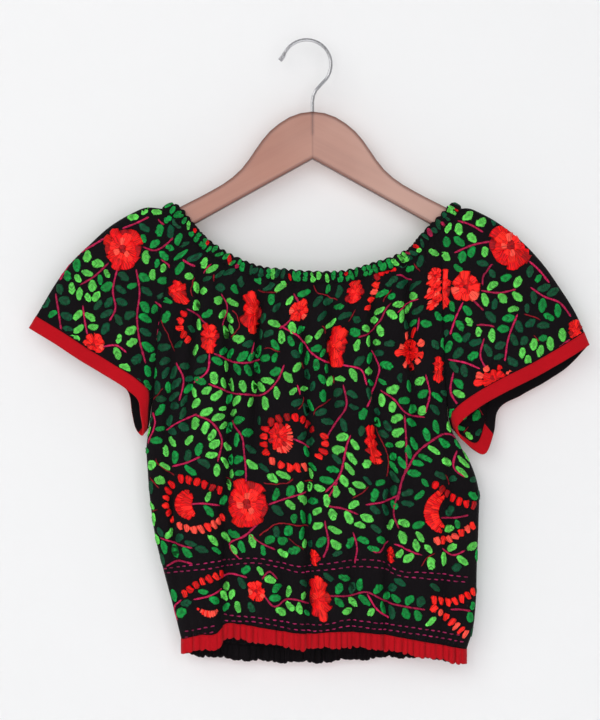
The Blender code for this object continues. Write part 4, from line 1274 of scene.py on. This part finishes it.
def knots(work, ground, line, shade):
    """A row of fat round stitches along a line of flat places."""
    dyes = ((DEEP_RED, SCARLET), (SCARLET, ORANGE), (SALMON, ORANGE))[shade]
    ahead, run = ahead_of(line), run_along(line)
    count = max(int(run[-1] / KNOT_SPACING + 0.5), 1)
    for at in np.linspace(0, run[-1], count + 1):
        turn = heading(read_off(ahead, run, at)) + work.chance.normal(0, 0.25) + math.pi / 2
        length, width = work.chance.uniform(*KNOT_LENGTHS), work.chance.uniform(*KNOT_WIDTHS)
        base = read_off(line, run, at) - towards(turn) * length / 2
        dye = dyes[int(work.chance.integers(2))]
        work.satin(ground, base, turn, length, width, 1.5, dye, False)
        ground.take(spread(turn, length, width, 0.4, (11, 9)) + base)


def grow(work, ground, tries):
    """Fill bare cloth with leafy stems that wander until they meet something."""
    chance = work.chance
    around = 1.8 * np.array([towards(a) for a in np.linspace(0, 2 * math.pi, 8)])
    for attempt in range(tries):
        place = ground.anywhere(chance)
        if not ground.free(place + 2 * around):
            continue
        turn, bend = chance.uniform(0, 2 * math.pi), chance.normal(0, 0.06)
        longest = chance.uniform(26, 70) if attempt < tries / 2 else chance.uniform(10, 30)
        line = [place]
        while len(line) * GROWING_STEP < longest:
            turn += bend + chance.normal(0, 0.19)
            place = place + GROWING_STEP * towards(turn)
            if not ground.free(place + around):
                break
            line.append(place)
        if len(line) < 5:
            continue
        room = ground.taken.copy()
        shade = int(chance.choice([0, 0, 1, 1, 2, 2]))
        marks = (len(work.points), work.total)
        if branch(work, ground, np.array(line), shade, chance.choice([1.3, 1.6, 2.2])) < 2:
            ground.taken = room
            for kept in (work.points, work.faces, work.threads, work.dyes):
                del kept[marks[0] :]
            work.total = marks[1]


def fill(work, ground, tries, scale):
    """Single leaves wherever one still fits."""
    chance = work.chance
    for _ in range(tries):
        place = ground.anywhere(chance)
        if ground.taken[tuple(np.round(place - ground.low).astype(int).clip(0, ground.size - 1))]:
            continue
        shade = chance.choice([0, 0, 1, 1, 2])
        leaf(work, ground, place, chance.uniform(0, 2 * math.pi), shade, scale, BARE_SHARE)


def running_stitches(work, ground, drop, rows):
    """Two rows of dashes, a drop apart, in thick bright thread."""
    for down in (0.0, drop):
        line = ground.line([(x, z - down) for x, z in rows], DASH_STEP)
        for off in (-1.6, -0.8, 0, 0.8, 1.6):
            ground.take(line + (0, off))
        k = int(work.chance.integers(4))
        while k + DASH + 1 < len(line):
            reach = line[k + DASH] - line[k]
            length, dye = float(np.linalg.norm(reach)), MAGENTA * work.chance.uniform(0.7, 1.3)
            work.satin(ground, line[k], heading(reach), length, 1.7, 0.6, dye, False)
            k += DASH + DASH_GAP


def embroider(name, work, grounds, finish, tries):
    """All stitched work on one piece of cloth, as one mesh."""
    for cloth, ground in grounds.items():
        for drop, *rows in STITCH_ROWS.get(cloth, ()):
            running_stitches(work, ground, drop, rows)
        for kind, x, z, wide, high, turn in FLOWERS.get(cloth, ()):
            flower(work, ground, kind, ground.find(x, z), np.array([wide, high]), turn)
        for x, z, wide, high, *rest in FANS.get(cloth, ()):
            fan(work, ground, ground.find(x, z), np.array([wide, high]), *rest)
        for shade, *places in KNOT_ROWS.get(cloth, ()):
            knots(work, ground, ground.line(places, 1.5), shade)
        for shade, *places in BRANCHES.get(cloth, ()):
            branch(work, ground, ground.line(places, GROWING_STEP), shade, BRANCH_WIDTH)
        grow(work, ground, tries)
        fill(work, ground, tries * 2, 0.9)
        fill(work, ground, tries // 3, 0.74)
    return work.solid(name, finish)


def embroider_casing(name, finish):
    """The pattern runs up into the casing, where the ruffles bunch it into short bright bits."""
    work, ground = Stitches(77), CasingGround()
    chance = work.chance
    at, shade = 0.0, 1
    while at < ground.length:
        if chance.uniform() < 0.25:
            shade = int(chance.choice([0, 1, 1, 2, 2]))
        rows = (-2.6, 1.8) if chance.uniform() < 0.4 else (chance.uniform(-1.8, 1.4),)
        for q in rows:
            place = np.array([at + chance.uniform(-0.8, 0.8), q])
            turn = math.pi / 2 + chance.normal(0, 0.5)
            pick = chance.uniform()
            dye = LEAF_DYES[shade] if pick < 0.84 else (CRIMSON if pick < 0.93 else SCARLET)
            size = chance.uniform(4.4, 7.0) if len(rows) > 1 else chance.uniform(7.0, 10.4)
            base = place - towards(turn) * size / 2
            work.satin(ground, base, turn, size, chance.uniform(3.4, 6.8), 0.8, dye)
        at += chance.uniform(3.6, 8.0)
    return work.solid(name, finish)


class Wire:
    """A number that varies over a surface; arithmetic on it adds Math nodes."""

    def __init__(self, finish, socket):
        self.finish = finish
        self.socket = socket

    def __add__(self, other):
        return self.finish.maths("ADD", self, other)

    def __sub__(self, other):
        return self.finish.maths("SUBTRACT", self, other)

    def __rsub__(self, other):
        return self.finish.maths("SUBTRACT", other, self)

    def __mul__(self, other):
        return self.finish.maths("MULTIPLY", self, other)

    __radd__ = __add__
    __rmul__ = __mul__


class Finish:
    """A procedural material, built from its surface shader outwards."""

    def __init__(self, name, **surface):
        self.material = bpy.data.materials.new(name)
        self.material.use_nodes = True
        self.tree = self.material.node_tree
        self.shader = self.tree.nodes["Principled BSDF"]
        self.paint(**surface)

    def set(self, node, socket, value):
        """Give a node's socket a value or a link."""
        target = node.inputs[socket]
        if isinstance(value, Wire):
            self.tree.links.new(value.socket, target)
        elif isinstance(value, bpy.types.NodeSocket):
            self.tree.links.new(value, target)
        else:
            target.default_value = value

    def node(self, kind, settings=None, sockets=None, output=0):
        """Add a node with its settings, then its sockets, and return one of its outputs."""
        made = self.tree.nodes.new(kind)
        for name, value in (settings or {}).items():
            if name == "stops":
                ramp = made.color_ramp
                while len(ramp.elements) < len(value):
                    ramp.elements.new(0.5)
                for element, (position, shade) in zip(ramp.elements, value):
                    element.position = position
                    element.color = (*shade, 1.0)
            else:
                setattr(made, name, value)
        for socket, value in (sockets or {}).items():
            self.set(made, socket, value)
        return made.outputs[output]

    def maths(self, operation, first, second=0.0):
        return Wire(self, self.node("ShaderNodeMath", {"operation": operation}, {0: first, 1: second}))

    def places(self, scale=(1, 1, 1), flat=False):
        """Where on the piece: its flat cut in decimetres, or its place in metres."""
        if flat:
            where = self.node("ShaderNodeUVMap", {"uv_map": "cut"})
        else:
            where = self.node("ShaderNodeTexCoord", output="Object")
        return self.node("ShaderNodeMapping", None, {"Vector": where, "Scale": scale})

    def noise(self, vector, scale, detail=2.0, roughness=0.5):
        sockets = {"Vector": vector, "Scale": scale, "Detail": detail, "Roughness": roughness}
        return Wire(self, self.node("ShaderNodeTexNoise", None, sockets, "Fac"))

    def part(self, vector, axis):
        """One coordinate of a vector."""
        return Wire(self, self.node("ShaderNodeSeparateXYZ", None, {0: vector}, axis))

    def mask(self, factor, start, end):
        """1 up to start and 0 from end."""
        shade = self.ramp(factor, (start, (1, 1, 1)), (end, (0, 0, 0)))
        return Wire(self, self.node("ShaderNodeRGBToBW", None, {0: shade}))

    def within(self, value, low, high):
        return self.maths("MINIMUM", self.maths("MAXIMUM", value, low), high)

    def bands(self, vector, scale, direction, distortion=0.0):
        settings = {"wave_type": "BANDS", "bands_direction": direction}
        sockets = {"Vector": vector, "Scale": scale, "Distortion": distortion, "Detail Scale": 3.0}
        return Wire(self, self.node("ShaderNodeTexWave", settings, sockets, "Fac"))

    def ramp(self, factor, *stops):
        return self.node("ShaderNodeValToRGB", {"stops": stops}, {"Fac": factor}, "Color")

    def blend(self, factor, first, second, how="MIX"):
        """Mix two colours."""
        settings = {"data_type": "RGBA", "blend_type": how}
        made = self.node("ShaderNodeMix", settings, {0: factor}, 2).node
        for socket, value in ((6, first), (7, second)):
            if not isinstance(value, (Wire, bpy.types.NodeSocket)) and len(value) == 3:
                value = (*value, 1.0)
            self.set(made, socket, value)
        return made.outputs[2]

    def relief(self, height, distance, strength=1.0):
        sockets = {"Height": height, "Distance": distance, "Strength": strength}
        self.set(self.shader, "Normal", self.node("ShaderNodeBump", None, sockets))

    def paint(self, **surface):
        """Give the surface shader's sockets values or links."""
        for socket, value in surface.items():
            self.set(self.shader, socket.replace("_", " "), value)


def woven_cloth(name, tint, fade_tint, threads, roughness, sheen):
    """Plain-woven cotton: warp over weft, slubs, and a slow change of depth in the dye."""
    finish = Finish(name, Specular_IOR_Level=0.08, Sheen_Weight=sheen, Sheen_Roughness=0.5)
    cut = finish.places(flat=True)
    warp = finish.bands(cut, threads, "X", 0.4)
    weft = finish.bands(cut, threads, "Y", 0.4)
    slub = finish.noise(finish.places((60, 5, 1), flat=True), 6.0)
    cloudy = finish.noise(cut, 2.2, 3.0)
    weave = warp * weft + (1 - warp) * (1 - weft)
    shade = finish.blend(cloudy, tint, fade_tint)
    shade = finish.blend(weave * 0.35, shade, [c * 1.9 for c in tint])
    finish.paint(Base_Color=shade, Roughness=roughness + slub * 0.12)
    finish.relief(weave + slub * 0.8, 0.00025, 0.7)
    return finish.material


def embroidery_thread(name, sheen):
    """Glossy floss side by side: the dye comes from the piece, the strands from its flat places, each
    strand with a painted highlight along it and painted shade beside it.
    """
    finish = Finish(name, Specular_IOR_Level=0.16, Sheen_Weight=sheen, Sheen_Roughness=0.35)
    dye = finish.node("ShaderNodeAttribute", {"attribute_name": "dye"}, output="Color")
    strands = finish.noise(finish.places((0.95, 0.09, 1), flat=True), 1.0, 3.0, 0.6)
    fibres = finish.noise(finish.places((4.2, 0.35, 1), flat=True), 1.0, 2.0)
    # Painted highlight and painted shade: lit and shaded copies of the dye, streaked along the strands.
    light = finish.blend(1.0, dye, (1.45, 1.45, 1.4), "MULTIPLY")
    dark = finish.blend(1.0, dye, (0.34, 0.36, 0.36), "MULTIPLY")
    shade = finish.blend(finish.within(strands * 3.4 - 1.1, 0.0, 1.0), dark, light)
    finish.paint(Base_Color=shade, Roughness=0.42 + fibres * 0.25)
    finish.relief(strands + fibres * 0.4, 0.0006, 0.8)
    return finish.material


def varnished_wood(name, settings):
    """Stained and varnished hardwood, its grain down each arm, with painted shade on its rounded edges and
    a painted sheen that pales the right arm.
    """
    finish = Finish(name, Coat_Weight=0.25, Coat_Roughness=0.18)
    where = finish.node("ShaderNodeTexCoord", output="Object")
    x, y, z = (finish.part(where, axis) for axis in range(3))
    middle = SHANK_X * MM
    side = finish.maths("ABSOLUTE", x - middle)
    lean = math.radians(settings.grain_slope)
    down = side * math.cos(lean) - z * math.sin(lean)
    over = side * math.sin(lean) + z * math.cos(lean)
    left = finish.maths("LESS_THAN", x, middle)
    grain = {0: down * 2.2, 1: over * 26 + left * 7, 2: y * 26}
    grain = finish.node("ShaderNodeCombineXYZ", None, grain)
    finer = finish.node("ShaderNodeVectorMath", {"operation": "MULTIPLY"}, {0: grain, 1: (4, 9, 9)})
    broad, fine = finish.noise(grain, 1.1, 3.0), finish.noise(finer, 1.0, 3.0, 0.65)
    patchy = finish.noise(where, 16.0, 2.0)
    base = finish.ramp(
        broad * 0.75 + fine * 0.25,
        (0.30, settings.wood_dark),
        (0.50, settings.wood_middle),
        (0.72, settings.wood_light),
    )
    base = finish.blend(patchy * 0.4 + left * 0.22, base, settings.wood_warm)
    # Painted sheen: the right arm is painted paler, as the varnish's reflection of the light.
    painted_sheen_rightward = finish.within((x - middle) * 4.0 + patchy * 0.5 - 0.1, 0.0, 0.5)
    base = finish.blend(painted_sheen_rightward, base, settings.wood_painted_sheen)
    # Painted shade: faces that turn away from the front, and places near an edge, are painted darker; the
    # joint of the two arms is darker too.
    normal = finish.node("ShaderNodeNewGeometry", output="Normal")
    painted_edge_shade = finish.mask(finish.maths("ABSOLUTE", finish.part(normal, 1)), 0.55, 0.93)
    search = {"inside": True, "only_local": True, "samples": 12}
    near = finish.node("ShaderNodeAmbientOcclusion", search, {"Distance": 0.0045}, "AO")
    dark = painted_edge_shade * 0.9 + finish.mask(near, 0.78, 0.95) * 0.75 + finish.mask(side * 400, 0.1, 0.5) * 0.3
    shade = finish.blend(finish.maths("MINIMUM", dark, 1.0), base, settings.wood_edge_shade_and_joint)
    finish.paint(Base_Color=shade, Roughness=0.34 + fine * 0.16)
    finish.relief(fine, 0.0002, 0.3)
    return finish.material


def bright_wire(name):
    """Nickelled wire, drawn lengthwise and a little dulled by handling."""
    finish = Finish(name, Metallic=1.0)
    drawn = finish.noise(finish.places((900, 900, 60)), 1.0, 2.0)
    worn = finish.noise(finish.places(), 45.0, 3.0)
    shade = finish.ramp(worn, (0.3, (0.42, 0.42, 0.44)), (0.7, (0.66, 0.66, 0.68)))
    finish.paint(Base_Color=shade, Roughness=0.16 + drawn * 0.12 + worn * 0.08)
    finish.relief(drawn, 0.00004, 0.4)
    return finish.material


def painted_plaster(name, tint, backless):
    """A pale rolled wall or floor; one that stands behind the garment lets light in from the back."""
    finish = Finish(name, Specular_IOR_Level=0.2, Roughness=0.9)
    rolled = finish.noise(finish.places(), 120.0, 3.0)
    broad = finish.noise(finish.places(), 1.2, 2.0)
    finish.paint(Base_Color=finish.blend(broad, tint, [c * 0.97 for c in tint]))
    finish.relief(rolled, 0.0006, 0.25)
    if backless:
        back = finish.node("ShaderNodeNewGeometry", output="Backfacing")
        to_lamp = finish.node("ShaderNodeLightPath", output="Is Shadow Ray")
        clear = finish.node("ShaderNodeBsdfTransparent")
        either = finish.maths("MAXIMUM", back, to_lamp)
        shaders = {0: either, 1: finish.shader.outputs[0], 2: clear}
        choice = finish.node("ShaderNodeMixShader", None, shaders)
        finish.set(finish.tree.nodes["Material Output"], "Surface", choice)
    return finish.material


def percent(name, description, default):
    return FloatProperty(name=name, description=description, default=default, min=0, max=1)


def tint(name, description, default):
    return FloatVectorProperty(
        name=name, description=description, default=default, size=3, min=0, max=1, subtype="COLOR"
    )


def millimetres(name, description, default):
    return FloatProperty(
        name=name, description=description, default=default * MM, min=0, unit="LENGTH", precision=4
    )


class ClothSettings(bpy.types.PropertyGroup):
    """The black cotton of the panels, sleeves and neck casing."""

    wall: millimetres("Cloth wall", "Thickness of the black cloth's wall", 1.5)
    rumple: millimetres("Rumple", "Depth of the soft hollows in the hanging cloth", 0.7)
    black: tint("Black", "The cloth's dye", (0.0040, 0.0030, 0.0038))
    worn_black: tint("Worn black", "The dye where it is thinner", (0.0085, 0.0066, 0.0080))
    threads: FloatProperty(name="Threads", description="Weave bands in a decimetre", default=48)


class TrimSettings(bpy.types.PropertyGroup):
    """The red hem bands and cuffs."""

    wall: millimetres("Band wall", "Thickness of the doubled red cloth", 2.2)
    red: tint("Red", "The trim's dye", (0.47, 0.0036, 0.0098))
    deep_red: tint("Deep red", "The dye in its folds", (0.30, 0.0022, 0.0066))


class PatternSettings(bpy.types.PropertyGroup):
    """The stitched leaves and flowers."""

    stems: IntProperty(name="Stems", description="Tries at a wandering stem on each cloth", default=1000)
    sheen: percent("Sheen", "Soft sheen of the thread", 0.015)


class HangerSettings(bpy.types.PropertyGroup):
    """The hanger's stain and grain, with its painted edge shade and painted sheen."""

    grain_slope: FloatProperty(name="Grain slope", description="Fall of the grain in degrees", default=27)
    wood_dark: tint("Dark grain", "Darkest streaks", (0.27, 0.100, 0.066))
    wood_middle: tint("Middle grain", "Most of the wood", (0.36, 0.155, 0.108))
    wood_light: tint("Light grain", "Lightest streaks", (0.44, 0.230, 0.178))
    wood_warm: tint("Warm patches", "Where the stain is warmer", (0.37, 0.125, 0.066))
    # The colour of the painted sheen that pales the right arm, a painted reflection of the light on the
    # varnish.
    wood_painted_sheen: tint("Pale wood", "Where the stain has worn thin", (0.56, 0.35, 0.28))
    # Painted shade on the rounded edges, and the dark line where the two arms meet.
    wood_edge_shade_and_joint: tint("Edges", "The darker rounded edges", (0.10, 0.030, 0.022))


class StageSettings(bpy.types.PropertyGroup):
    """The wall, the floor, the light and the camera."""

    away: FloatProperty(name="Camera distance", description="From the hanger", default=2.0, unit="LENGTH")
    frame_height: FloatProperty(
        name="Framed height", description="At the hanger", default=0.72, unit="LENGTH"
    )
    wall_gap: millimetres("Wall gap", "From the hook's middle to the wall", 31.0)
    paint: tint("Paint", "The wall's paint", (0.86, 0.86, 0.865))
    air: percent("Air", "Strength of the light from all round", 0.42)


def settings():
    return bpy.context.scene.crop_top_settings


class CropTopSettings(bpy.types.PropertyGroup):
    """Everything that a user would change."""

    cloth: PointerProperty(type=ClothSettings)
    trim: PointerProperty(type=TrimSettings)
    pattern: PointerProperty(type=PatternSettings)
    hanger: PointerProperty(type=HangerSettings)
    stage: PointerProperty(type=StageSettings)


# Middle surfaces of the body panels, kept for the embroiderer, and a sleeve's share of the stems.
HUNG = {}
SLEEVE_STEMS = 0.6


def finish_named(name):
    """A finish that an earlier operator made."""
    made = bpy.data.materials.get(name)
    if made is None:
        raise RuntimeError(f"the finish {name} isn't made yet")
    return made


def keep(piece, slot, *nodes):
    """Hang a piece on the body, with the CAD nodes it stands for; its material slot is not used."""
    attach(piece, "root")
    if nodes:
        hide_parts(*nodes)
    return piece


class CROPTOP_OT_finishes(bpy.types.Operator):
    """Make the materials that several pieces share"""

    bl_idname = "crop_top.finishes"
    bl_label = "Finishes"

    def execute(self, context):
        cloth, trim, pattern = settings().cloth, settings().trim, settings().pattern
        woven_cloth("black_cotton", cloth.black, cloth.worn_black, cloth.threads, 0.88, 0.012)
        woven_cloth("red_cotton", trim.red, trim.deep_red, 40.0, 0.72, 0.03)
        embroidery_thread("embroidery_thread", pattern.sheen)
        return {"FINISHED"}


class CROPTOP_OT_panels(bpy.types.Operator):
    """Hang the gathered front and back panels"""

    bl_idname = "crop_top.panels"
    bl_label = "Body panels"

    def execute(self, context):
        cloth = settings().cloth
        finish = finish_named("black_cotton")
        halves = (("front", FRONT_COLUMNS, FRONT_FOLDS), ("back", BACK_COLUMNS, BACK_FOLDS))
        for name, columns, folds in halves:
            surface = body_panel(name == "back", columns, folds, cloth.rumple / MM)
            HUNG[name] = surface
            piece = cloth_wall(f"{name}_panel", surface, cloth.wall / MM, False, [finish])
            keep(piece, "black_cloth", f"body_{name}")
        trim = settings().trim
        red = finish_named("red_cotton")
        for name, seed in (("front", 1), ("back", 4)):
            grid, facing = HUNG[name]
            surface = hem_band(grid[-1], facing[-1], seed)
            finishes = [red, finish] if name == "back" else [red]
            piece = cloth_wall(f"hem_{name}", surface, trim.wall / MM, False, finishes)
            keep(piece, "red_trim", f"hem_band_{name}")
        return {"FINISHED"}


class CROPTOP_OT_sleeves(bpy.types.Operator):
    """Hang the two raglan sleeves with their red cuffs"""

    bl_idname = "crop_top.sleeves"
    bl_label = "Sleeves and cuffs"

    def execute(self, context):
        cloth, trim = settings().cloth, settings().trim
        finish, red = finish_named("black_cotton"), finish_named("red_cotton")
        for side, name in ((-1, "left"), (1, "right")):
            sleeve, cuff = sleeve_and_cuff(side, cloth.rumple / MM)
            piece = cloth_wall(f"{name}_sleeve", sleeve, cloth.wall / MM, True, [finish])
            keep(piece, "black_cloth", f"sleeve_{name}")
            piece = cloth_wall(f"{name}_cuff", cuff, trim.wall / MM, True, [red, finish], CUFF_TURNS_RED)
            keep(piece, "red_trim", f"cuff_{name}")
        return {"FINISHED"}


class CROPTOP_OT_casing(bpy.types.Operator):
    """Ruffle the elastic neck casing"""

    bl_idname = "crop_top.casing"
    bl_label = "Neck casing"

    def execute(self, context):
        piece = casing_tunnel("ruffled_casing", finish_named("black_cotton"))
        keep(piece, "black_cloth", "neck_casing")
        return {"FINISHED"}


class CROPTOP_OT_pattern(bpy.types.Operator):
    """Stitch the leaves, stems, flowers, curls and running stitches"""

    bl_idname = "crop_top.pattern"
    bl_label = "Stitched pattern"

    def execute(self, context):
        tries, wall = settings().pattern.stems, settings().cloth.wall / MM
        thread = finish_named("embroidery_thread")
        jobs = (
            ("front_pattern", 11, (("front", 1),)),
            ("back_pattern", 23, (("back", -1),)),
            ("left_sleeve_pattern", 31, (("sleeve_left", 1), ("sleeve_left_back", -1))),
            ("right_sleeve_pattern", 47, (("sleeve_right", 1), ("sleeve_right_back", -1))),
        )
        for name, seed, cloths in jobs:
            if cloths[0][0] in HUNG:
                grounds = {cloth: folded_ground(HUNG[cloth], wall, side) for cloth, side in cloths}
                share = 1.0
            else:
                sleeve = bpy.data.objects[name.replace("_pattern", "")]
                grounds = {cloth: hanging_ground(sleeve, side) for cloth, side in cloths}
                share = SLEEVE_STEMS
            made = embroider(name, Stitches(seed), grounds, thread, int(tries * share))
            keep(made, "black_cloth")
        keep(embroider_casing("casing_pattern", thread), "black_cloth")
        return {"FINISHED"}


class CROPTOP_OT_hanger(bpy.types.Operator):
    """Give the hanger's board and hook their wood and metal"""

    bl_idname = "crop_top.hanger"
    bl_label = "Hanger finishes"

    def execute(self, context):
        wood = varnished_wood("stained_wood", settings().hanger)
        wire = bright_wire("nickelled_wire")
        for node, finish in (("hanger_board", wood), ("hanger_hook", wire)):
            for slot in bpy.data.objects[node].material_slots:
                slot.material = finish
        return {"FINISHED"}


class CROPTOP_OT_declare(bpy.types.Operator):
    """An empty step: it states no sheet's flat cut and no hold"""

    bl_idname = "crop_top.declare"
    bl_label = "Flat cuts"

    def execute(self, context):
        return {"FINISHED"}


def lamp(name, place, aim, size, power, shade):
    """A square soft light that faces a point."""
    data = bpy.data.lights.new(name, "AREA")
    data.energy = power
    data.size = size
    data.color = shade
    made = placed(name, data)
    made.location = place
    made.rotation_euler = (Vector(aim) - Vector(place)).to_track_quat("-Z", "Y").to_euler()


def backdrop(name, corners, finish):
    """A plain rectangle of the stage."""
    mesh = bpy.data.meshes.new(name)
    mesh.from_pydata(corners, [], [(0, 1, 2, 3)])
    mesh.materials.append(finish)
    made = placed(name, mesh)


class CROPTOP_OT_stage(bpy.types.Operator):
    """Set up the wall, the floor, the soft light and the camera"""

    bl_idname = "crop_top.stage"
    bl_label = "Stage"

    def execute(self, context):
        stage = settings().stage
        y, x, low, high = stage.wall_gap, WALL_REACH, FLOOR_Z, CEILING_Z
        wall = [(-x, y, low), (x, y, low), (x, y, high), (-x, y, high)]
        backdrop("wall", wall, painted_plaster("wall_paint", stage.paint, True))
        y = FLOOR_REACH
        floor = [(-x, -y, low), (x, -y, low), (x, y, low), (-x, y, low)]
        backdrop("floor", floor, painted_plaster("floor_paint", stage.paint, False))
        for row in LAMPS:
            lamp(*row)
        world = bpy.data.worlds.new("studio_air")
        world.use_nodes = True
        air = world.node_tree.nodes["Background"].inputs
        air["Color"].default_value = (1, 1, 1, 1)
        air["Strength"].default_value = stage.air
        context.scene.world = world
        context.scene.view_settings.view_transform = "Standard"
        data = bpy.data.cameras.new("camera")
        data.sensor_fit = "VERTICAL"
        data.angle_y = 2 * math.atan(stage.frame_height / 2 / stage.away)
        camera = placed("camera", data)
        camera.location = (CAMERA_X, -stage.away, CAMERA_Z)
        camera.rotation_euler = (math.radians(90), 0, 0)
        context.scene.camera = camera
        return {"FINISHED"}


class CROPTOP_PT_sidebar(bpy.types.Panel):
    """Operators and settings in the 3D view's sidebar"""

    bl_label = "Crop top"
    bl_idname = "CROPTOP_PT_sidebar"
    bl_space_type = "VIEW_3D"
    bl_region_type = "UI"
    bl_category = "Crop top"

    def draw(self, context):
        for operator in OPERATORS:
            self.layout.operator(operator.bl_idname)
        for group in ("cloth", "trim", "pattern", "hanger", "stage"):
            box = self.layout.box()
            box.label(text=group.capitalize())
            chosen = getattr(context.scene.crop_top_settings, group)
            for name in chosen.__annotations__:
                box.prop(chosen, name)


# The stage, in metres: the wall and the floor, the camera, and the lamps with their place, what
# they face, their size, their power in watts, and their colour.
WALL_REACH, FLOOR_REACH, FLOOR_Z, CEILING_Z = 3.0, 4.0, -1.5, 1.6
CAMERA_X, CAMERA_Z = -0.0065, -0.3185
LAMPS = (
    ("window", (-1.2, -2.5, 0.6), (0, 0, -0.3), 1.8, 23.0, (1.0, 0.99, 0.97)),
    ("front_fill", (0.25, -2.9, -0.25), (0, 0, -0.35), 2.2, 36.0, (0.97, 0.98, 1.0)),
    ("back_fill", (0.6, 2.2, 0.6), (0, 0, -0.35), 1.8, 36.0, (1.0, 1.0, 1.0)),
)

OPERATORS = (
    CROPTOP_OT_finishes,
    CROPTOP_OT_panels,
    CROPTOP_OT_sleeves,
    CROPTOP_OT_casing,
    CROPTOP_OT_pattern,
    CROPTOP_OT_hanger,
    CROPTOP_OT_declare,
    CROPTOP_OT_stage,
)
GROUPS = (ClothSettings, TrimSettings, PatternSettings, HangerSettings, StageSettings, CropTopSettings)


def register():
    for made in (*GROUPS, *OPERATORS, CROPTOP_PT_sidebar):
        bpy.utils.register_class(made)
    bpy.types.Scene.crop_top_settings = PointerProperty(type=CropTopSettings)


def unregister():
    del bpy.types.Scene.crop_top_settings
    for made in reversed((*GROUPS, *OPERATORS, CROPTOP_PT_sidebar)):
        bpy.utils.unregister_class(made)


def main():
    register()
    bpy.ops.crop_top.finishes()
    bpy.ops.crop_top.panels()
    bpy.ops.crop_top.sleeves()
    bpy.ops.crop_top.casing()
    bpy.ops.crop_top.pattern()
    bpy.ops.crop_top.hanger()
    bpy.ops.crop_top.declare()
    bpy.ops.crop_top.stage()


if __name__ == "__main__":
    main()
